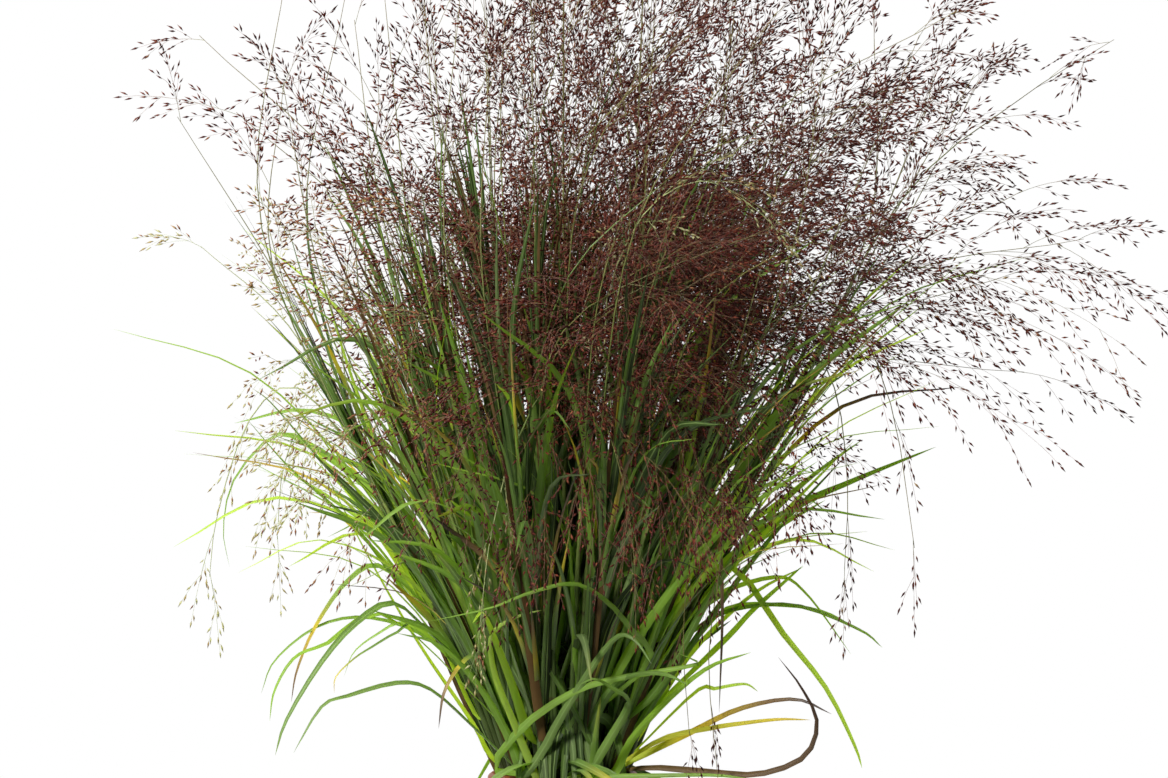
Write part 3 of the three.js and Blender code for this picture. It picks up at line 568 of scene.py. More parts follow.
# More of them, which the solids don't have.
FINER_BLADES = [
    (255, 6.5, 0.95, 0.0, [(-14, -46, -5), (-22, -52, 13), (-31, -60, 36), (-42, -70, 64), (-46, -78, 86),
        (-42, -84, 98), (-28, -90, 106), (-13, -94, 110)]),
    (285, 5, 0.62, 0.0, [(55, -78, 77), (43, -92, 98), (28, -104, 116), (7, -118, 128), (-22, -128, 122),
        (-46, -134, 113), (-84, -140, 105)]),
    (255, 6.5, 0.66, 0.0, [(-44, -46, 6), (-26, -60, 34), (4, -74, 56), (27, -86, 65), (56, -98, 71),
        (77, -106, 75), (85, -110, 78), (72, -114, 84)]),
    (255, 7, 0.5, 0.0, [(-28, -44, -4), (-14, -56, 17), (-2, -68, 40), (15, -82, 68), (27, -92, 86),
        (37, -100, 95), (47, -106, 90), (56, -112, 76)]),
    (255, 8, 0.42, 0.12, [(8, -46, -4), (5, -54, 34), (-2, -62, 64), (-14, -68, 92), (-26, -74, 115),
        (-42, -80, 142)]),
    (285, 7.5, 0.55, 0.0, [(11, -42, -6), (20, -54, 10), (32, -70, 31), (40, -84, 46), (41, -96, 55),
        (31, -106, 62), (20, -112, 68), (10, -116, 64)]),
    (285, 9, 0.6, 0.3, [(19, -46, -5), (20, -54, 12), (21, -62, 28), (24, -68, 54)]),
    (285, 5.5, 0.62, 0.0, [(0, -46, 0), (18, -58, 2), (56, -74, 4), (96, -84, 5), (124, -90, 2)]),
    (285, 7, 0.7, 0.0, [(30, -44, 0), (44, -58, 26), (66, -76, 52), (92, -94, 74), (118, -108, 84)]),
    (255, 8, 0.58, 0.0, [(-24, -44, 0), (-36, -56, 30), (-54, -72, 62), (-78, -90, 88), (-104, -106, 96)]),
    (285, 6, 0.45, 0.0, [(24, -44, 6), (10, -58, 40), (-12, -72, 78), (-30, -84, 120), (-40, -92, 160)]),
    (255, 7, 0.52, 0.15, [(-8, -44, 4), (8, -58, 46), (30, -72, 92), (46, -84, 138), (70, -96, 170)]),
    (315, 5, 1.0, (0.2, 0.36), [(62, -60, 26), (93, -84, 35), (114, -96, 39), (136, -106, 42),
        (155, -112, 42)]),
    (345, 4, 0.9, 0.2, [(85, -24, 53), (98, -30, 56), (112, -34, 59), (119, -36, 59), (125, -40, 55)]),
    (225, 2.5, 0.5, 0.5, [(-90, -66, 98), (-105, -76, 95), (-121, -86, 86), (-132, -92, 79), (-143, -98, 68),
        (-144, -98, 58)]),
    (225, 4, 0.7, 0.2, [(-110, -70, 104), (-150, -92, 88), (-169, -100, 80), (-181, -106, 60),
        (-184, -108, 41)]),
    (165, 6, 0.6, 0.0, [(-90, 24, 150), (-128, 34, 192), (-158, 42, 207), (-191, 52, 218)]),
    (195, 5, 0.55, 0.3, [(-100, -26, 140), (-150, -40, 196), (-185, -50, 238), (-199, -54, 250)]),
    (345, 5, 0.7, 0.1, [(85, -20, 86), (107, -26, 108), (141, -34, 110), (168, -42, 106), (189, -48, 95)]),
    (345, 7, 0.72, 0.0, [(103, -24, 85), (121, -30, 105), (139, -36, 122), (154, -42, 136)]),
    (315, 7, 0.5, 0.0, [(62, -50, 60), (88, -70, 108), (112, -88, 150), (130, -100, 190)]),
    (225, 7, 0.55, 0.0, [(-60, -50, 70), (-84, -70, 120), (-110, -90, 166), (-128, -102, 204)]),
    (15, 6, 0.5, 0.0, [(80, 22, 130), (120, 32, 190), (160, 42, 240), (190, 50, 262)]),
    (345, 8, 0.85, 0.0, [(59, -15, 51), (89, -24, 109), (134, -36, 161), (186, -50, 216)]),
    (15, 8, 0.8, 0.0, [(56, 14, 77), (89, 24, 135), (141, 38, 174), (173, 46, 200)]),
    (345, 7, 0.92, 0.0, [(50, -13, 25), (82, -22, 77), (121, -32, 116), (154, -42, 135)]),
    (315, 7, 0.8, 0.0, [(37, -33, 44), (63, -56, 96), (102, -90, 148), (118, -104, 194)]),
    (15, 7, 0.88, 0.0, [(63, 17, 135), (102, 28, 194), (147, 40, 239), (193, 52, 265)]),
    (195, 7, 0.9, 0.0, [(-61, -16, 44), (-87, -23, 103), (-119, -32, 161), (-152, -41, 213),
        (-178, -48, 246)]),
    (165, 6, 0.85, 0.0, [(-54, 14, 70), (-80, 22, 135), (-106, 29, 200), (-126, 34, 259), (-139, 38, 304)]),
    (225, 5, 0.95, 0.0, [(-61, -55, 109), (-74, -66, 174), (-93, -84, 239), (-106, -95, 304),
        (-116, -104, 356)]),
    (195, 6, 0.8, 0.0, [(-80, -22, 109), (-106, -29, 161), (-139, -38, 220), (-165, -45, 259)]),
    (225, 6, 0.75, 0.0, [(-41, -37, 135), (-54, -49, 207), (-70, -63, 285), (-80, -72, 317)]),
    (195, 8, 0.95, 0.0, [(-50, -14, 14), (-60, -20, 34), (-93, -30, 84), (-125, -36, 140), (-165, -44, 220)]),
    (165, 7, 0.9, 0.0, [(-60, 16, 60), (-92, 25, 118), (-130, 35, 168), (-168, 45, 205)]),
]
print(len(STANDING_OUT), "blades stand out, and", len(FINER_BLADES), "finer ones go between them")

# %% A blade as a chain: its width, its flat side and how dry it is at each place
BLADE_STEPS = 18
FRONT = Vector((0.15, -1.0, 0.55))  # the blades in front turn their flat side this way
LEAVES_A_STEM, BLADE_WIDTH, ROOT_WIDTH = 3, 8.5, 1.9
LOWEST_LEAF, HIGHEST_LEAF, SHORTEST_LEAF, LONGEST_LEAF = 55, 190, 190, 270
THINNEST = 0.04  # half the width that is left at a blade's tip


def blade_share(t):
    """How wide a blade is along its length, as a share of its greatest width."""
    return min(1.0, 0.42 + 2.6 * t) * (1 - t) ** 0.62


def dryness_along(dry_tip, t):
    """A number dries a blade from its tip on; a pair gives the dryness of its root and of its tip."""
    if isinstance(dry_tip, tuple):
        return lerp(*dry_tip, t * t)
    return clamp(dry_tip * (t - 0.45) / 0.5 + 0.25 * (dry_tip - 0.8)) if dry_tip else 0.0


def add_blade(threads, points, width, azimuth, twist, tint, dry_tip, roll=0.0, steps=12, facing=None):
    """A blade's flat side faces up and out along its azimuth, or towards another direction."""
    line = smooth_line(points, steps)
    across = Vector((-math.sin(azimuth), math.cos(azimuth), 0))
    shares = [i / steps for i in range(steps + 1)]
    flats = []
    for t, along in zip(shares, directions(line)):
        flat = along.cross(facing) if facing else across - along * across.dot(along)
        flats.append(Matrix.Rotation(roll + twist * t, 3, along) @ flat.normalized())
    halves = [max(THINNEST, ROOT_WIDTH / 2 * (1 - 3 * t), width / 2 * blade_share(t)) for t in shares]
    dry = [dryness_along(dry_tip, t) for t in shares]
    threads.chain(line, halves, flats, BLADE, along=shares, tint=tint, dry=dry, strip=float(threads.strips))
    threads.strips += 1

# %% The blades of the solid stems, by rule and by place
def stepped(root, length, steps, heading):
    """A midrib in steps, each a share of the length, in the direction that its bend gives."""
    points = [root]
    for share, bend in steps:
        points.append(points[-1] + heading(bend) * length * share)
    return points


def rooted(stem, height):
    """A blade's root at a height of its stem, and how far the clump fans out there."""
    root = stem_at(stem, height)
    return root, math.atan2(math.hypot(root.x, root.y), height - FAN_POINT.z)


def ruled_blade(stem, number, draw):
    """A blade of the solid stem: it rises beside the stem and arches over outwards."""
    share = (number + draw() * 0.6) / LEAVES_A_STEM
    root = stem_at(stem, SOIL_TOP + lerp(LOWEST_LEAF, HIGHEST_LEAF, share))
    outward = number * GOLDEN_ANGLE if stem.ring == 0 else stem.azimuth
    azimuth = outward + (1 if number % 2 == 0 else -1) * spread(draw, 0.15, 0.75)
    length = spread(draw, SHORTEST_LEAF, LONGEST_LEAF) * (1 - 0.1 * number)
    lean = spread(draw, 0.16, 0.34) + (0.3 if stem.outer else 0.1)
    arch = spread(draw, 0.3, 0.8) + (0.75 if stem.outer else 0)
    steps = ((0.34, 0), (0.36, 0.45), (0.3, 1))
    points = stepped(root, length, steps, lambda bend: leaning(azimuth, lean + arch * bend))
    width = BLADE_WIDTH * spread(draw, 0.75, 1.15)
    return points, width, azimuth, spread(draw, -0.9, 0.9)


def placed_blade(stem, points):
    """The midrib of a blade that stands out: it starts in its stem, lower the further off it lies."""
    places = [Vector((x, y, z + RIM)) for x, y, z in points]
    beside = stem_at(stem, places[0].z)
    off = math.hypot(places[0].x, places[0].y) - math.hypot(beside.x, beside.y)
    root = stem_at(stem, max(SOIL_TOP + OUTER_BEND[0] + 4, places[0].z - 1.6 * off))
    return [root, *places]

# %% Long blades between the others, and narrow ones among the panicles
EXTRA_BLADES = [14, 15, 17, 20]  # a stem, by its ring
SIDE_FEWER = 10  # for the outer stems towards either side, where the clump is seen through
NEXT_FEWER = 5  # and for the stems next to them
TALL_BLADES = [8, 20, 18, 7]  # a stem, by its ring
DEAD = (0.86, 1.0)  # brown from root to tip


def green_with_painted_light(rng, stem):
    """Deep green, painted shade, for blades deep in the clump; lime, painted light shining through, for most
    at its sides.
    """
    side = math.cos(stem.azimuth) ** 2 if stem.ring > 1 else 0.0
    return clamp(rng.gauss(0.22 + 0.05 * stem.ring + 0.47 * side, 0.2))


def extra_blade(stem, rng):
    """A blade between the others: nearly straight, fanning with the stems, arched at its tip."""
    root, fan = rooted(stem, SOIL_TOP + rng.uniform(-2, 150))
    azimuth = stem.azimuth + rng.gauss(0, 0.75 if stem.outer else 1.1)
    rise = leaning(stem.azimuth, fan)
    length = rng.uniform(170, 320)
    lean = rng.uniform(0.04, 0.2)
    arch = rng.uniform(0.1, 0.75) ** 1.5 + (0.3 if stem.outer else 0)

    def heading(bend):
        leant = (rise + level(azimuth) * math.tan(lean + arch * bend * 0.9)).normalized()
        return (leant - UP * arch * bend * 0.35).normalized()

    points = stepped(root, length, ((0.34, 0.0), (0.34, 0.35), (0.32, 1.0)), heading)
    return points, rng.uniform(3.2, 8.2), azimuth, rng.uniform(-1.2, 1.2)


def tall_blade(stem, rng):
    """A narrow blade from high on the stem, upright among the panicles."""
    root, fan = rooted(stem, SOIL_TOP + stem.height * rng.uniform(0.5, 0.95))
    azimuth, length = stem.azimuth + rng.gauss(0, 1.2), rng.uniform(110, 230)
    lean, arch = rng.uniform(0.03, 0.14), rng.uniform(0.05, 0.5)

    def heading(bend):
        return (leaning(stem.azimuth, fan) + level(azimuth) * (lean + arch * bend)).normalized()

    points = stepped(root, length, ((0.4, 0.0), (0.34, 0.3), (0.26, 1.0)), heading)
    points = [under_dome(place, 0.9) for place in points]
    return points, rng.uniform(3.0, 6.5), azimuth, rng.uniform(-1.5, 1.5)


print("a stem gets", EXTRA_BLADES, "more blades and", TALL_BLADES, "narrow ones, by its ring")

# %% Broad blades low down, old sheaths, and blades over the rim and in front
BASE_BLADES, SHEATHS = [3, 4, 6, 9], [10, 9, 6, 2]  # a stem, by its ring
RIM_BLADES = 2  # for each outer stem in front or behind, over the pot's rim
LIP_BLADES = 8  # and steep ones that hang just in front of its lip
FRONT_BLADES = 11  # for each stem of the two outer rings on the side towards -Y


def base_blade(stem, rng):
    """A broad blade from low on the stem, which hides the culms: it leans out and crosses the others."""
    root = stem_at(stem, SOIL_TOP + rng.uniform(-2, 40))
    azimuth = stem.azimuth + rng.gauss(0, 1.3)
    lean = rng.uniform(0.0, 0.42) + 0.06 * stem.ring
    arch = rng.uniform(0.05, 1.0) ** 1.3 + (0.15 if stem.outer else 0)
    outward = leaning(stem.azimuth, 0.12 * stem.ring)

    def heading(bend):
        return (outward + leaning(azimuth, lean + arch * bend) * 1.8).normalized()

    points = stepped(root, rng.uniform(110, 290), ((0.34, 0.0), (0.34, 0.4), (0.32, 1.0)), heading)
    return points, rng.uniform(5.0, 11.0), azimuth, rng.uniform(-2.0, 2.0)


def sheath_blade(stem, rng):
    """An old leaf sheath, broad, that stands up beside the stem; its nearly black green is painted shade of
    the clump.
    """
    foot = stem_at(stem, SOIL_TOP) + level(rng.uniform(0, 2 * math.pi)) * rng.uniform(1, 5)
    rise = (stem_at(stem, SOIL_TOP + 200) - stem_at(stem, SOIL_TOP)).normalized()
    turn = rng.uniform(0, 2 * math.pi)
    rise = (rise + level(turn) * rng.uniform(0, 0.07)).normalized()
    length = rng.uniform(170, 380)
    points = [foot + rise * length * share for share in (0, 0.5, 1)]
    return points, rng.uniform(7.0, 12.0), turn, rng.uniform(-1.0, 1.0)


def swung(azimuth, turn, places):
    """Places by their distance from the pot's axis, height and share of a turn to one side."""
    return [level(azimuth + turn * share) * radius + UP * height for radius, height, share in places]


def rim_blade(stem, rng):
    """A low blade that leans out over the pot's rim and sinks past it, some way to one side."""
    azimuth, turn = stem.azimuth + rng.uniform(-0.3, 0.3), rng.uniform(-0.8, 0.8)
    places = [
        (48, RIM + rng.uniform(3, 12), 0.0),
        (rng.uniform(66, 84), RIM + rng.uniform(-4, 26), 0.5),
        (rng.uniform(88, 125), RIM - rng.uniform(8, 48), 1.0),
    ]
    points = [stem_at(stem, SOIL_TOP + 3), *swung(azimuth, turn, places)]
    return points, rng.uniform(6.0, 11.0), azimuth, rng.uniform(-1.1, 1.1)


def lip_blade(stem, rng):
    """A leaf that leaves its stem well above the pot and hangs down steeply in front of its lip."""
    azimuth, turn = stem.azimuth + rng.uniform(-0.4, 0.4), rng.uniform(-0.35, 0.35)
    root, drop = stem_at(stem, RIM + rng.uniform(30, 95)), rng.uniform(6, 26)
    low, lip = root.z - rng.uniform(2, 8), RIM + rng.uniform(8, 18)
    places = [(50, low, 0.3), (55, lip, 0.8), (58, RIM - drop, 1.0)]
    return [root, *swung(azimuth, turn, places)], rng.uniform(5.0, 9.5), azimuth, rng.uniform(-0.5, 0.5)


def front_blade(stem, rng):
    """A broad blade on the side that is seen first: it leans to one side and shows its flat face."""
    root, fan = rooted(stem, SOIL_TOP + rng.uniform(2, 150))
    rise = leaning(stem.azimuth, fan + rng.uniform(0.02, 0.14))
    aside = level(stem.azimuth + math.pi / 2) * rng.gauss(0, 0.17)
    length, arch = rng.uniform(130, 290), rng.uniform(0, 1) ** 2.5 * 1.3

    def heading(bend):
        way = rise + aside * (1 + bend) + level(stem.azimuth) * arch * bend * 0.5 - UP * arch * bend
        return way.normalized()

    points = stepped(root, length, ((0.34, 0.0), (0.36, 0.35), (0.3, 1.0)), heading)
    return points, rng.uniform(5.0, 10.5), stem.azimuth, rng.uniform(-0.7, 0.7)

# %% [markdown]
# ## Culms
#
# The culm is a cane in joints. At every joint a leaf sheath starts and wraps the cane for most of the
# way to the next, so the cane is a little thicker there, and the joint itself is a brown swelling. Each
# stem has four younger shoots beside it from the same root, which carry panicles of their own.

# %% A culm as a chain that swells at its joints
CULM_BASE, CULM_TOP, ROOT_DEPTH = 2.0, 1.0, 24  # radius at the soil and at the top, and depth
FIRST_JOINT, JOINT_PITCH = 8, 56
# Round a joint: height above it, how much thicker the cane is, and whether it is brown.
JOINT = ((-2, 0, 0), (-0.7, 0.4, 1), (0.7, 0.42, 1), (2, 0.3, 0), (40, 0.26, 0), (42, 0, 0))


def add_culm(threads, stem, tint):
    """A culm from its foot in the soil to its top, with a sheath above each joint."""
    foot, top = SOIL_TOP - ROOT_DEPTH, SOIL_TOP + stem.height
    rows = [(foot, -1.9, 0.0), (foot + 1, 0.0, 0.0)]  # height, more radius, brown
    joint = SOIL_TOP + FIRST_JOINT
    while joint < top - 20:
        rows += [(joint + rise, more, float(brown)) for rise, more, brown in JOINT if joint + rise < top - 4]
        joint += JOINT_PITCH
    heights, extra, joints = zip(*rows, (top - 0.6, 0.0, 0.0), (top + 0.6, -0.9, 0.0))
    line = [stem_at(stem, height) for height in heights]
    risen = [max(0.0, height - SOIL_TOP) / stem.height for height in heights]
    halves = [max(0.05, lerp(CULM_BASE, CULM_TOP, up) + more) for up, more in zip(risen, extra)]
    side = level(stem.azimuth + math.pi / 2)
    flats = [(side - along * side.dot(along)).normalized() for along in directions(line)]
    strip = float(threads.strips)
    threads.chain(line, halves, flats, CULM, along=risen, tint=tint, dry=list(joints), strip=strip)
    threads.strips += 1


def shoot_beside(stem, rng):
    """A younger shoot from the same root, a few millimetres to one side."""
    turn = stem.azimuth + math.pi / 2 * rng.choice((-1, 1)) + rng.uniform(-0.3, 0.3)
    foot = stem.foot + level(turn) * rng.uniform(3.5, 6.0)
    azimuth = math.atan2(foot.y, foot.x)
    return stem._replace(foot=foot, azimuth=azimuth, height=stem.height * rng.uniform(0.74, 0.94))

# %% The tree for a leafy stem
LEAFY_SIZES = {"Blade Sides": 6, "Blade Thickness": 0.06, "Edge Lift": 0.34, "Culm Sides": 6, "Strips": 20}
FOLD = 1.3  # radians: edges that turn more than this stay sharp
leafy_tree, given = new_tree("leafy stem", LEAFY_SIZES)
section = [given[label] for label in ("Blade Sides", "Blade Thickness", "Edge Lift")]
blades = swept(leafy_tree, given["Geometry"], BLADE, *section, leaf_skin)
canes = swept(leafy_tree, given["Geometry"], CULM, given["Culm Sides"], 1.0, 0.0, culm_skin)
both = add(leafy_tree, "GeometryNodeJoinGeometry", {"Geometry": [canes, blades]})
laid = mapped(leafy_tree, both, given["Strips"], 0.01, 0.99)
soft = {"Geometry": laid, "Shade Smooth": True}
smooth = add(leafy_tree, "GeometryNodeSetShadeSmooth", soft, domain="FACE")
turn = add(leafy_tree, "GeometryNodeInputMeshEdgeAngle", out="Unsigned Angle")
sharp = add(leafy_tree, "FunctionNodeCompare", [turn, FOLD], operation="GREATER_THAN")
crease = {"Geometry": smooth, "Selection": sharp, "Shade Smooth": False}
creased = add(leafy_tree, "GeometryNodeSetShadeSmooth", crease, domain="EDGE")
real = add(leafy_tree, "GeometryNodeRealizeInstances", {"Geometry": creased})
add(leafy_tree, "NodeGroupOutput", {"Geometry": real}, out=None)
print("tree:", leafy_tree.name, len(leafy_tree.nodes), "nodes")

# %% [markdown]
# ## Panicles
#
# A switchgrass panicle is a loose pyramid: branches leave the stalk low down at a wide angle and near
# the top at a narrow one, each forks along its outer half, and each fork ends in a short string of
# spikelets on hair-thin pedicels. The branches sag under them. The rule here grows three orders of
# branches as chains and marks a point for every spikelet, and the tree of nodes sets one small pointed
# husk on each mark. A stem's own panicle has its stalk where the solid has it, and those of the younger
# shoots fill the crown between them.

# %% Branches, forks and pedicels
TINTS = 24  # shades of husk, each with its own column in the map
BRANCH_STEPS, STRING_STEPS, STALK_STEPS = 7, 2, 12
BRANCH_THICKNESS, STRING_THICKNESS, STALK_THICKNESS = (0.2, 0.08), (0.13, 0.08), (0.7, 0.2)  # root and tip


def column_of(tint):
    """The column of the map that a shade of husk has."""
    return float(min(TINTS - 1, max(0, int(tint * TINTS))))


def place_on(line, share):
    """The place at a share of a line, and the number of the step that it lies on."""
    steps = len(line) - 1
    at = min(steps - 1, int(share * steps))
    return line[at].lerp(line[at + 1], share * steps - at), at


def sagging(root, heading, length, sag, steps):
    """A branch that starts straight and bends down under its own weight."""
    shares = [i / steps for i in range(steps + 1)]
    return [root + heading * (length * s) - UP * (sag * length * s * s) for s in shares]


def beside(direction, turn):
    """A direction square to another, turned round it."""
    reference = Vector((1, 0, 0)) if abs(direction.x) < 0.8 else Vector((0, 1, 0))
    return Matrix.Rotation(turn, 3, direction) @ reference.cross(direction).normalized()


def add_hair(threads, line, thickness, low, high, tint):
    """A branch as a chain: its thickness runs down and its colour runs on, from low to high."""
    last = len(line) - 1
    halves = [lerp(*thickness, i / last) for i in range(last + 1)]
    along = [lerp(low, high, i / last) for i in range(last + 1)]
    flats = [beside(way, 0.0) for way in directions(line)]
    threads.chain(line, halves, flats, BRANCH, along=along, tint=tint, strip=column_of(tint))


def add_spikelet(threads, place, heading, tint, size):
    """A mark for one husk, with the way that it points."""
    column = column_of(tint)
    threads.point(place, kind=SPIKELET, heading=heading, tint=(column + 0.5) / TINTS, strip=column, size=size)


SPIKELET_PITCH = 5.6  # from one husk to the next along a string
SHORTEST_STRING, LONGEST_STRING = 16, 60


def add_string(threads, root, heading, length, sag, tint, rng):
    """The last order of branch: a string of husks that lie close along it, by turns to either side."""
    line = sagging(root, heading, length, sag, STRING_STEPS)
    add_hair(threads, line, STRING_THICKNESS, 0.6, 1.0, tint)
    ways = directions(line)
    count = max(3, round(length / SPIKELET_PITCH))
    turn = rng.uniform(0, math.pi)
    for k in range(count):
        place, at = place_on(line, ((k + rng.uniform(0.2, 0.8)) / count) ** 0.8)
        side = beside(ways[at], turn + math.pi * k + rng.uniform(-0.6, 0.6))
        out = (ways[at] + side * rng.uniform(0.15, 0.85)).normalized()
        shade = clamp(rng.gauss(tint, 0.16))
        add_spikelet(threads, place + side * rng.uniform(0.3, 1.4), out, shade, rng.uniform(0.78, 1.12))
    add_spikelet(threads, line[-1], ways[-1], clamp(rng.gauss(tint, 0.1)), rng.uniform(0.9, 1.15))


def add_branch(threads, root, along, out, lean, length, sag, tint, rng, strings):
    """A branch of the stalk, kept under the crown's dome, with its strings along the outer part."""
    heading = along * math.cos(lean) + out * math.sin(lean)
    tip = root + heading * length - UP * sag * length
    shoulder = math.sin(2 * max(0.0, crown_elevation(tip))) ** 2
    tip = under_dome(tip, lerp(0.92, 0.99, shoulder), FINE_ROUNDNESS)
    heading = (tip - root + UP * sag * length).normalized()
    length = min(length, (tip - root).length * 1.08)
    line = sagging(root, heading, length, sag, BRANCH_STEPS)
    add_hair(threads, line, BRANCH_THICKNESS, 0.2, 0.8, tint)
    ways = directions(line)
    for k in range(strings):
        share = lerp(0.2, 0.95, (k + rng.uniform(0, 0.8)) / strings)
        place, at = place_on(line, share)
        side = beside(ways[at], k * GOLDEN_ANGLE + rng.uniform(-0.6, 0.6))
        angle = rng.uniform(0.15, 0.68)
        way = (ways[at] * math.cos(angle) + side * math.sin(angle) - UP * 0.25 * sag).normalized()
        long = length * lerp(0.5, 0.26, share) * rng.uniform(0.7, 1.15)
        long = min(LONGEST_STRING, max(SHORTEST_STRING, long))
        add_string(threads, place, way, long, 0.08 + 0.5 * sag, tint, rng)
    add_string(threads, line[-1], ways[-1], 18, 0.12, tint, rng)

# %% The stalks of the solid panicles
CROWN_FILL, STALK_ELEVATIONS = 0.88, (44, 14)  # share of the dome's reach, and degrees, by turns
GAP = 0.3  # between a stem's top and its panicle


def stalk_points(stem):
    """The main stalk of a solid panicle, from its stem to near the dome."""
    low = SOIL_TOP + stem.height + GAP
    start = stem_at(stem, low)
    way = (stem_at(stem, low + 1) - start).normalized()
    if not stem.outer:
        top = under_dome(start + way * CROWN_RISE * 2)
        return [start, start.lerp(top, 0.48), start.lerp(top, 0.93)]
    elevation = math.radians(STALK_ELEVATIONS[stem.place % 2])
    return [start, *arch_to(start, way, stem.azimuth, elevation, CROWN_FILL)]


def arch_to(start, way, azimuth, elevation, fill):
    """The shoulder and the end of a stalk that arches over towards the crown's edge."""
    reach = crown_reach(azimuth) * fill * math.cos(elevation)
    rise = CROWN_RISE * fill * math.sin(elevation)
    end = Vector((reach * math.cos(azimuth), reach * math.sin(azimuth), RIM + CROWN_MIDDLE + rise))
    shoulder = start + way * (end - start).length * 0.5
    return shoulder.lerp(end, 0.14), end

# %% The stalks of the younger shoots, and how full each panicle is
# Where those stalks end, by ring: lowest and highest elevation in degrees, seen from the middle of the
# crown, least and most of the way to the dome, and the share of branches. Every stem has one shoot of
# each row.
SHOOT_ENDS = [
    [(62, 88, 0.7, 0.98, 0.75), (52, 88, 0.6, 0.95, 0.8), (0, 60, 0.3, 0.55, 2.5), (10, 75, 0.3, 0.7, 2.4)],
    [(50, 88, 0.75, 1.0, 0.75), (38, 70, 0.55, 0.9, 0.9), (-5, 40, 0.3, 0.55, 2.5), (10, 65, 0.3, 0.7, 2.4)],
    [(30, 66, 0.7, 0.98, 0.8), (12, 50, 0.45, 0.85, 1.0), (-25, 15, 0.3, 0.5, 0.7), (0, 50, 0.35, 0.65, 2.2)],
    [(14, 58, 0.7, 0.97, 0.72), (-14, 26, 0.5, 0.84, 0.5), (-34, 0, 0.3, 0.5, 0.5), (36, 64, 0.8, 1.0, 0.75)],
]
THIN_SIDE = 0.2  # low on the side towards -X the crown thins out to this share of its branches


def young_side(place):
    """From 0 to 1, how far a place lies towards -X and low, where the panicles are younger."""
    return clamp(-place.x / 105) * clamp((math.radians(46) - crown_elevation(place)) / math.radians(36))


def fullness(end):
    """How full a panicle is, by the place that its stalk reaches: sparse at both sides, above all at -X."""
    full = lerp(1.0, THIN_SIDE, young_side(end) ** 0.7)
    hanging = clamp((end.x - 60) / 100) * clamp((0.2 - crown_elevation(end)) / 0.35)
    side = math.cos(math.atan2(end.y, end.x))
    return full * (1 - 0.62 * max(0.0, -side)) * (1 + 0.16 * max(0.0, side)) * (1 - 0.62 * hanging)


def shoot_stalk(stem, ends, rng):
    """A younger shoot's stalk ends somewhere inside the crown."""
    start = stem_at(stem, SOIL_TOP + stem.height + GAP)
    way = (stem_at(stem, SOIL_TOP + stem.height + 2) - start).normalized()
    low, high, near, far, _ = ends
    azimuth = stem.azimuth + rng.gauss(0, 0.28) - 0.22 * math.sin(stem.azimuth)
    elevation, fill = math.radians(rng.uniform(low, high)), rng.uniform(near, far)
    if elevation > 0:
        flat, risen = math.cos(elevation), math.sin(elevation)
        fill /= (flat**FINE_ROUNDNESS + risen**FINE_ROUNDNESS) ** (1 / FINE_ROUNDNESS)
    return [start, *arch_to(start, way, azimuth, elevation, fill)]

# %% A whole panicle on its stalk
# Low at both sides, outside these places on X and under this height above the rim, every other
# branch is missing.
BARE_SIDES, BARE_BELOW = (-30, 60), 258


def husk_tint(place):
    """The husks far out and low towards -X are the youngest and palest."""
    away = clamp((-place.x - 60) / 100)
    return 0.2 + 0.74 * away * clamp((math.radians(38) - crown_elevation(place)) / math.radians(32))


def add_panicle(threads, points, branches, length, sag, tint, rng, widest=1.15, strings=7):
    """A stalk with its branches. Its husks take one tint or, without one, that of their place."""
    own = rng.uniform(-0.07, 0.08)
    line = smooth_line(points, STALK_STEPS)
    add_hair(threads, line, STALK_THICKNESS, 0.0, 0.4, husk_tint(line[-1]) if tint is None else tint)
    ways = directions(line)
    for number in range(branches):
        share = min(0.985, 0.06 + 0.92 * (number + rng.uniform(0, 0.5)) / (branches - 1))
        root, at = place_on(line, share)
        at_side = not BARE_SIDES[0] < root.x < BARE_SIDES[1]
        if tint is None and number % 2 and at_side and root.z < RIM + BARE_BELOW:
            continue
        lean = lerp(widest, 0.2, share) + rng.uniform(-0.15, 0.15)
        long = length * lerp(1.2, 0.5, share) * rng.uniform(0.8, 1.15)
        out = beside(ways[at], number * GOLDEN_ANGLE + rng.uniform(-0.4, 0.4))
        reached = root + (ways[at] * math.cos(lean) + out * math.sin(lean)) * long * 0.6
        shade = husk_tint(reached) + own if tint is None else tint
        shade = clamp(shade + rng.gauss(0, 0.08))
        count = max(3, round(strings * lerp(1.2, 0.7, share)))
        add_branch(threads, root, ways[at], out, lean, long, sag * (1 - 0.5 * share), shade, rng, count)

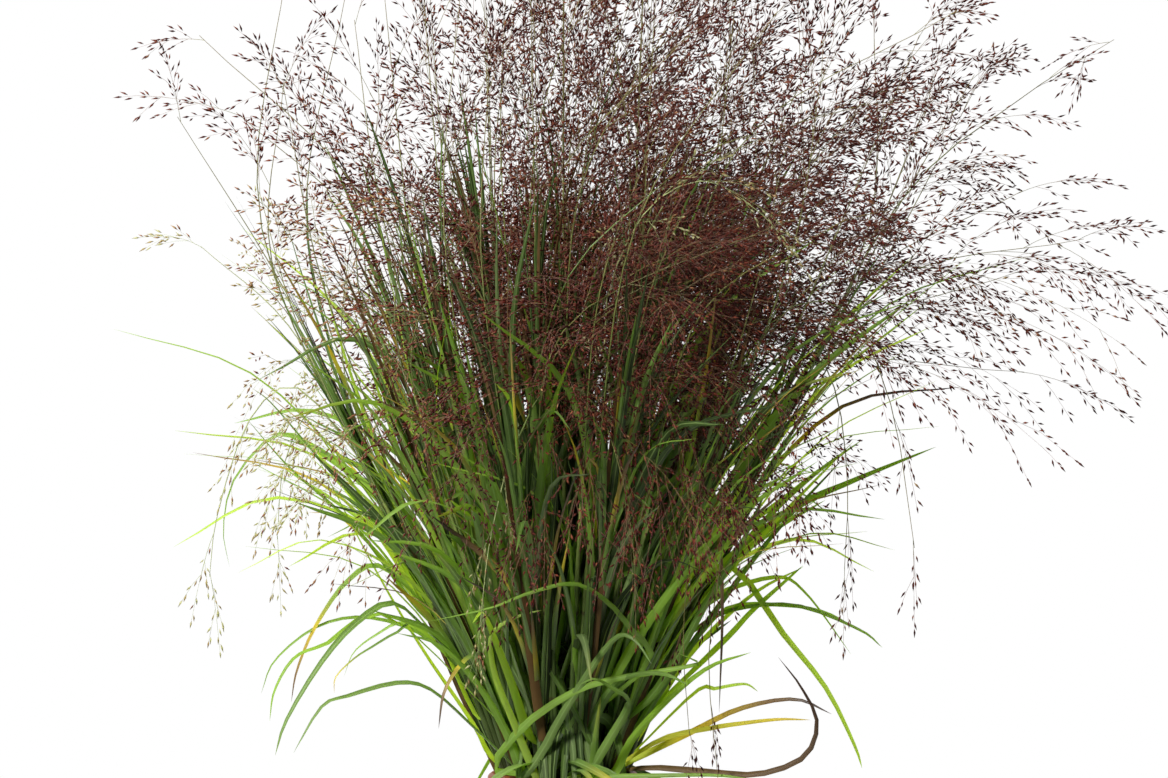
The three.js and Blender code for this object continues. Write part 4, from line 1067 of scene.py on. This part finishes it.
# %% Panicles that hang clear of the crown
# Stem azimuth, husk tint, branches, branch length, sag, and the places that the stalk passes: X, Y,
# height above the rim.
HANGING = [
    (315, 0.25, 5, 46, 0.9, [(130, -115, 290), (175, -120, 300), (205, -120, 240), (220, -118, 150)]),
    (345, 0.25, 5, 44, 0.9, [(150, -60, 280), (172, -80, 250), (180, -85, 190), (178, -86, 135)]),
    (285, 0.32, 9, 42, 0.8, [(48, -142, 240), (60, -150, 250), (74, -152, 210), (80, -150, 160)]),
    (255, 0.36, 8, 42, 0.8, [(-10, -140, 250), (20, -150, 240), (38, -152, 190), (45, -150, 140)]),
    (195, 0.9, 4, 44, 0.8, [(-170, -50, 250), (-200, -60, 230), (-220, -66, 170), (-225, -68, 130)]),
    (165, 0.9, 4, 42, 0.8, [(-165, 45, 235), (-185, 50, 200), (-190, 52, 150)]),
    (15, 0.22, 10, 60, 0.35, [(220, 50, 370), (300, 60, 440), (366, 66, 482)]),
    (315, 0.05, 5, 20, 0.9, [(98, -98, 216), (100, -100, 150), (92, -92, 80), (98, -90, 2)]),
    (315, 0.1, 4, 18, 0.9, [(84, -92, 214), (80, -94, 150), (76, -90, 90), (80, -86, 30)]),
    (255, 0.95, 5, 24, 0.9, [(-36, -128, 196), (-46, -134, 150), (-52, -136, 96)]),
    (285, 0.94, 8, 44, 0.3, [(26, -110, 290), (40, -150, 340), (62, -180, 368), (92, -190, 376),
        (124, -192, 354)]),
]
print(len(HANGING), "panicles hang clear of the crown")

# %% The tree for a panicle
PANICLE_SIZES = {"Branch Sides": 3, "Spikelet Length": 5.6 * MM, "Spikelet Width": 1.5 * MM, "Columns": TINTS}
panicle_tree, given = new_tree("panicle", PANICLE_SIZES)
tree = panicle_tree
hairs = swept(tree, given["Geometry"], BRANCH, given["Branch Sides"], 1.0, 0.0, hair)
hairs = mapped(tree, hairs, given["Columns"], 0.01, 0.47)

# One husk: three sides round, widest below its middle, and drawn out to a point at both ends.
ball = add(tree, "GeometryNodeMeshUVSphere", {"Segments": 3, "Rings": 2, "Radius": 1.0})
spot = add(tree, "ShaderNodeSeparateXYZ", [add(tree, "GeometryNodeInputPosition")], out=None).outputs
ball = add(tree, STORE, {"Geometry": ball, "Name": "across", "Value": spot["X"]})
bulge = add(tree, "ShaderNodeMath", [spot["Z"], spot["Z"]], operation="MULTIPLY")
risen = add(tree, "ShaderNodeMath", [spot["Z"], 0.5, 0.42], operation="MULTIPLY_ADD")
risen = add(tree, "ShaderNodeMath", [bulge, 0.08, risen], operation="MULTIPLY_ADD")
ball = add(tree, STORE, {"Geometry": ball, "Name": "along", "Value": risen})
slim = add(tree, "ShaderNodeMath", [given["Spikelet Width"], 0.5], operation="MULTIPLY")
sides = ((spot["X"], slim), (spot["Y"], slim), (risen, given["Spikelet Length"]))
drawn_out = [add(tree, "ShaderNodeMath", side, operation="MULTIPLY") for side in sides]
place = add(tree, "ShaderNodeCombineXYZ", drawn_out)
one_husk = add(tree, "GeometryNodeSetPosition", {"Geometry": ball, "Position": place})
one_husk = add(tree, "GeometryNodeSetMaterial", {"Geometry": one_husk, "Material": husk})

chosen = {"Mesh": given["Geometry"], "Selection": is_kind(tree, SPIKELET)}
marks = add(tree, "GeometryNodeMeshToPoints", chosen)
heading = add(tree, CARRIED, ["heading"], data_type="FLOAT_VECTOR")
aimed = add(tree, "FunctionNodeAlignRotationToVector", {"Vector": heading}, axis="Z")
setting = {"Points": marks, "Instance": one_husk, "Rotation": aimed, "Scale": add(tree, CARRIED, ["size"])}
husks = add(tree, "GeometryNodeRealizeInstances", [add(tree, "GeometryNodeInstanceOnPoints", setting)])
husks = mapped(tree, husks, given["Columns"], 0.53, 0.99)
both = add(tree, "GeometryNodeJoinGeometry", {"Geometry": [husks, hairs]})
smooth = add(tree, "GeometryNodeSetShadeSmooth", {"Geometry": both, "Shade Smooth": True})
add(tree, "NodeGroupOutput", {"Geometry": smooth}, out=None)
print("tree:", tree.name, len(tree.nodes), "nodes")

# %% Every stem grows: its blades and culms, then its panicles
SPARE = {"heading", "size", "kind", "flat", "half_width"}  # values that only the trees needed
BRANCHES = (14, 12)  # on a stem's own panicle, and on that of each younger shoot
BRANCH_LENGTHS = (150, 115)
SAG, OUTER_SAG = 0.28, 0.5
IN_FRONT = (255, 285, 315)  # azimuths of the outer stems whose blades cross the others in front


def finish_piece(piece, node):
    """Drops the spare values, puts a piece in the place of its solid, and counts its triangles."""
    for label in SPARE:
        if label in piece.data.attributes:
            piece.data.attributes.remove(piece.data.attributes[label])
    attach(piece, "root")
    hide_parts(node)
    return sum(len(face.vertices) - 2 for face in piece.data.polygons)


def at_edge(stem):
    """How far an outer or next to outer stem lies towards either side: 1 is straight to one side."""
    return abs(math.cos(stem.azimuth)) if stem.ring > 1 else 0.0


totals = {"leafy": 0, "panicle": 0, "spikelets": 0, "blades": 0}
for index, stem in enumerate(stems):
    number = f"{index + 1:02d}"
    draw, rng = random_stream(1000 + 17 * index), random.Random(4000 + index)
    shoots = [shoot_beside(stem, rng) for _ in SHOOT_ENDS[stem.ring]]
    azimuth = round(math.degrees(stem.azimuth))
    leafy = Threads()
    add_culm(leafy, stem, 0.5)
    for shoot in shoots:
        add_culm(leafy, shoot, 0.6)
    own = [row for row in STANDING_OUT if stem.outer and row[0] == azimuth]
    finer = [row for row in FINER_BLADES if stem.outer and row[0] == azimuth]
    for _, width, tint, dry_tip, points in own + finer:
        places = placed_blade(stem, points)
        if azimuth in IN_FRONT:  # these blades show their flat sides
            add_blade(leafy, places, width, stem.azimuth, 0.5, tint, dry_tip, -0.2, BLADE_STEPS, FRONT)
        else:
            roll = math.copysign(0.75, points[-1][0])
            add_blade(leafy, places, width, stem.azimuth, 0.35, tint, dry_tip, roll, BLADE_STEPS)
    for place in range(max(1, LEAVES_A_STEM + 1 - max(1, len(own)))):
        add_blade(leafy, *ruled_blade(stem, place, draw), green_with_painted_light(rng, stem), 0.0)
    at_side = stem.outer and at_edge(stem) > 0.8
    next_to = not at_side and at_edge(stem) > 0.7
    fewer = SIDE_FEWER if at_side else NEXT_FEWER if next_to else 0
    for _ in range(EXTRA_BLADES[stem.ring] - fewer):
        points, width, turn, twist = extra_blade(stem, rng)
        dry_tip = rng.choice((0, 0, 0, 0, 0.7, 1.1)) if rng.random() < 0.7 else 0.0
        add_blade(leafy, points, width * (0.76 if fewer else 1), turn, twist, green_with_painted_light(rng, stem), dry_tip)
    for _ in range(TALL_BLADES[stem.ring]):
        points, width, turn, twist = tall_blade(stem, rng)
        dry_tip = rng.choice((0, 0, DEAD, DEAD))
        # The narrow blades among the panicles take a darker green: painted shade of the crown round them.
        width, green = width * (0.6 if dry_tip else 1), green_with_painted_light(rng, stem) * 0.45
        add_blade(leafy, points, width, turn, twist, green, dry_tip, steps=8)
    for _ in range(BASE_BLADES[stem.ring] // (2 if at_side else 1)):
        add_blade(leafy, *base_blade(stem, rng), green_with_painted_light(rng, stem), rng.choice((0, 0, 0, 0.5, 1.0)))
    for _ in range(SHEATHS[stem.ring]):
        # Old sheaths take the darkest greens: painted shade inside the clump.
        add_blade(leafy, *sheath_blade(stem, rng), rng.uniform(0, 0.15), rng.choice((0, 0, DEAD)), steps=4)
    if stem.outer and at_edge(stem) < 0.5:
        for _ in range(RIM_BLADES):
            add_blade(leafy, *rim_blade(stem, rng), green_with_painted_light(rng, stem), rng.choice((0, 0, 0.5)))
        for _ in range(LIP_BLADES):
            add_blade(leafy, *lip_blade(stem, rng), rng.uniform(0.05, 0.5), 0)
    if stem.ring > 1 and math.sin(stem.azimuth) < -0.4:
        for _ in range(FRONT_BLADES):
            points, width, turn, twist = front_blade(stem, rng)
            facing = leaning(turn + rng.gauss(0, 0.6), 1.1)
            tint = rng.choice((0.24, 0.34, 0.48, 0.64)) + rng.uniform(-0.06, 0.08)
            add_blade(leafy, points, width, turn, twist, tint, rng.choice((0, 0, 0, 0.3)), facing=facing)
    totals["blades"] += leafy.strips - 1 - len(shoots)
    piece = grown(leafy.to_object(f"blades_{number}"), leafy_tree, LEAFY_SIZES | {"Strips": leafy.strips})
    totals["leafy"] += finish_piece(piece, f"leafy_stem_{number}")

    heads = Threads()
    sag = OUTER_SAG if stem.outer else SAG
    stalk = stalk_points(stem)
    branches = max(3, round(BRANCHES[0] * fullness(stalk[-1])))
    add_panicle(heads, stalk, branches, BRANCH_LENGTHS[0], sag, None, rng)
    for shoot, ends in zip(shoots, SHOOT_ENDS[stem.ring]):
        stalk = shoot_stalk(shoot, ends, rng)
        branches = max(2, round(BRANCHES[1] * fullness(stalk[-1]) * ends[-1]))
        add_panicle(heads, stalk, branches, BRANCH_LENGTHS[1], sag, None, rng)
    for turn, shade, branches, length, droop, points in HANGING:
        if stem.outer and turn == azimuth:
            start = stem_at(stem, SOIL_TOP + stem.height + GAP)
            places = [start, *(Vector((x, y, z + RIM)) for x, y, z in points)]
            add_panicle(heads, places, branches, length, droop, shade, rng, widest=0.7, strings=4)
    totals["spikelets"] += heads.values["kind"].count(SPIKELET)
    piece = grown(heads.to_object(f"panicle_spray_{number}"), panicle_tree, PANICLE_SIZES)
    totals["panicle"] += finish_piece(piece, f"panicle_{number}")
print(totals)

# %% [markdown]
# ## The pot
#
# The pot is thrown stoneware under a treacle-brown glaze. Glaze runs thin over a rounded rim and over
# the crest of each throwing ring, where the orange-brown body glows through, and lies thick and nearly
# black in between. Its foot is bare clay. The shape is one profile turned round the axis, up the
# outside and down the inside, so it is made as a lathe, with the throwing rings as shallow waves.

# %% Pot profile, turned into a closed surface
POT_SIDES, OUTSIDE_STEPS, INSIDE_STEPS = 96, 5, 4
POT_OUTSIDE = [  # radius and height
    (38, 0.6), (40.4, 0), (41.6, 1.4), (47, 14), (52, 35), (55, 60), (51.5, 87.5), (46.2, 106),
    (45.4, 110.5), (46.6, 114.5), (48.9, 117.6), (49.5, 120.6), (48.9, 123.2), (46.9, 125),
]
POT_INSIDE = [
    (44.2, 124.5), (42.1, 122.8), (41, 117), (41, 109), (44, 97), (47, 87.5), (50, 60), (46, 30), (36, 7.4),
]
RING_HEIGHT, RING_PITCH, FIRST_RING, LAST_RING = 0.22, 7, 12, 104  # the throwing rings are shallow waves


def rounded(profile, steps):
    """A smooth profile through some places, with a number of steps from each to the next."""
    points = [Vector((radius, 0, height)) for radius, height in profile]
    return [(p.x, p.z) for p in smooth_line(points, steps * (len(points) - 1))]


def lathe(name, profile, sides):
    """A closed surface from a profile that runs from the axis, outwards, and back to the axis."""
    places, faces = [UP * profile[0][1] * MM], []
    for radius, height in profile:
        for k in range(sides):
            turn = 2 * math.pi * k / sides
            places.append(Vector((radius * math.cos(turn), radius * math.sin(turn), height)) * MM)
    places.append(UP * profile[-1][1] * MM)
    last = 1 + (len(profile) - 1) * sides
    for k in range(sides):
        after = (k + 1) % sides
        faces.append((0, 1 + after, 1 + k))
        for low in range(1, last, sides):
            high = low + sides
            faces.append((low + k, low + after, high + after, high + k))
        faces.append((last + k, last + after, len(places) - 1))
    mesh = bpy.data.meshes.new(name)
    mesh.from_pydata(places, [], faces)
    mesh.polygons.foreach_set("use_smooth", [True] * len(faces))
    return new_object(name, mesh)


def ringed(radius, height):
    """A place of the profile with its throwing ring, between the foot and the neck."""
    wave = RING_HEIGHT * math.sin(height * 2 * math.pi / RING_PITCH)
    return radius + wave * (1 if FIRST_RING < height < LAST_RING else 0), height


outside = [ringed(*place) for place in rounded(POT_OUTSIDE, OUTSIDE_STEPS)]
pot = lathe("glazed_pot", outside + rounded(POT_INSIDE, INSIDE_STEPS), POT_SIDES)
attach(pot, "root")
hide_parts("pot")
print("pot:", len(pot.data.polygons), "faces")

# %% Stoneware glaze: treacle brown, glassy, breaking to orange where it runs thin
glaze, tree, shader = new_material("treacle stoneware glaze")
object_place = add(tree, "ShaderNodeTexCoord", out="Object")
height = add(tree, "ShaderNodeSeparateXYZ", [object_place], out="Z")
ring_wave = add(tree, "ShaderNodeMath", [height, 2 * math.pi / (RING_PITCH * MM)], operation="MULTIPLY")
crest = add(tree, "ShaderNodeMath", [ring_wave], operation="SINE")
drawn_down = add(tree, "ShaderNodeMapping", {0: object_place, 3: (60, 60, 22)})
flow = add(tree, "ShaderNodeTexNoise", {"Vector": drawn_down, "Scale": 1.0, "Detail": 5.0}, out="Fac")
thin = add(tree, "ShaderNodeMath", [crest, 0.1, flow], operation="MULTIPLY_ADD")
rim_glow = add(tree, "ShaderNodeMapRange", [height, 0.1185, 0.1245, 0.0, 0.34])
thin = add(tree, "ShaderNodeMath", [thin, rim_glow], operation="ADD")
TREACLE = [(0.25, "#1c0c05"), (0.5, "#3d1c08"), (0.72, "#7a3c0c"), (0.95, "#a95a14")]
treacle = add(tree, "ShaderNodeValToRGB", [thin], stops=TREACLE)
bare = add(tree, "ShaderNodeMapRange", [height, 0.0045, 0.006, 1.0, 0.0])
grit = add(tree, "ShaderNodeTexNoise", {"Vector": object_place, "Scale": 900.0, "Detail": 2.0}, out="Fac")
clay = add(tree, "ShaderNodeValToRGB", [grit], stops=[(0.3, "#7a5338"), (0.7, "#a87c58")])
coated = add(tree, "ShaderNodeMix", {0: bare, 6: treacle, 7: clay}, out=2, data_type="RGBA")
roughness = add(tree, "ShaderNodeMapRange", [bare, 0.0, 1.0, 0.48, 0.85])
sheen = add(tree, "ShaderNodeMapRange", [rim_glow, 0.0, 0.34, 0.5, 0.12])
orange_peel = add(tree, "ShaderNodeBump", {"Height": flow, "Distance": 0.0006, "Strength": 0.25})
fill_in(shader, {"Base Color": coated, "Roughness": roughness, "IOR": 1.4, "Normal": orange_peel})
fill_in(shader, {"Specular IOR Level": sheen})
pot.data.materials.append(glaze)

# %% [markdown]
# ## The soil
#
# Potting soil is crumbs of peat and bark up to 4 mm across with a few white grains of perlite, and it
# lies in small heaps round the stems. A lathed body fills the pot, its top is pushed up and down by
# noise, and Geometry Nodes scatter crumbs over that top.

# %% Soil body with an uneven top
SOIL_SIDES, SOIL_RINGS = 72, 16
SOIL_RADIUS = 40.6  # at its top
SOIL_OUTSIDE = [(35, 7.6), (45, 31), (49, 60), (46.2, 87.5), (SOIL_RADIUS, 108.5)]
soil_top = [(SOIL_RADIUS * (1 - k / SOIL_RINGS), SOIL_TOP) for k in range(SOIL_RINGS)]
soil = lathe("potting_soil_bed", SOIL_OUTSIDE + soil_top, SOIL_SIDES)
for vertex in soil.data.vertices:
    x, y, z = vertex.co / MM
    if z > SOIL_TOP - 1:
        edge = (math.hypot(x, y) / SOIL_RADIUS) ** 6
        heap = noise.noise(Vector((x, y, 0)) * 0.11) * 2.2 + noise.noise(Vector((x, y, 9)) * 0.45) * 0.9
        vertex.co.z = (SOIL_TOP - 0.6 + heap * (1 - edge) - 1.2 * edge) * MM

# %% Soil: damp peat and bark, almost black, with dull crumbs
peat, tree, shader = new_material("damp potting soil")
object_place = add(tree, "ShaderNodeTexCoord", out="Object")
crumbs = add(tree, "ShaderNodeTexNoise", {"Vector": object_place, "Scale": 420.0, "Detail": 6.0}, out="Fac")
PEATS = [(0.3, "#120c08"), (0.5, "#2a1c13"), (0.7, "#4a3424"), (0.85, "#6a5038")]
peat_colour = add(tree, "ShaderNodeValToRGB", [crumbs], stops=PEATS)
lumps = add(tree, "ShaderNodeBump", {"Height": crumbs, "Distance": 0.0015, "Strength": 0.8})
fill_in(shader, {"Base Color": peat_colour, "Roughness": 0.92, "Normal": lumps})
soil.data.materials.append(peat)

CRUMB_SIZES = {"Crumbs a Square Metre": 190000.0, "Crumb Radius": 1.0 * MM}
crumb_tree, given = new_tree("loose crumbs", CRUMB_SIZES)
tree = crumb_tree
facing = add(tree, "ShaderNodeSeparateXYZ", [add(tree, "GeometryNodeInputNormal")], out="Z")
upward = add(tree, "FunctionNodeCompare", [facing, 0.6], operation="GREATER_THAN")
density = given["Crumbs a Square Metre"]
sowing = {"Mesh": given["Geometry"], "Selection": upward, "Density": density, "Seed": 7}
strewn = add(tree, "GeometryNodeDistributePointsOnFaces", sowing)
grain = add(tree, "GeometryNodeMeshIcoSphere", {"Radius": given["Crumb Radius"], "Subdivisions": 1})
turned = add(tree, "FunctionNodeRandomValue", {1: (6.28, 6.28, 6.28), "Seed": 3}, data_type="FLOAT_VECTOR")
uneven = {0: (0.5, 0.4, 0.35), 1: (1.9, 1.3, 1.0), "Seed": 5}
sized = add(tree, "FunctionNodeRandomValue", uneven, data_type="FLOAT_VECTOR")
setting = {"Points": strewn, "Instance": grain, "Rotation": turned, "Scale": sized}
strewn = add(tree, "GeometryNodeRealizeInstances", [add(tree, "GeometryNodeInstanceOnPoints", setting)])
strewn = add(tree, "GeometryNodeSetMaterial", {"Geometry": strewn, "Material": peat})
both = add(tree, "GeometryNodeJoinGeometry", {"Geometry": [given["Geometry"], strewn]})
add(tree, "NodeGroupOutput", {"Geometry": both}, out=None)
soil = grown(soil, crumb_tree, CRUMB_SIZES)
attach(soil, "root")
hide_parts("potting_soil")
print("soil:", len(soil.data.polygons), "faces")
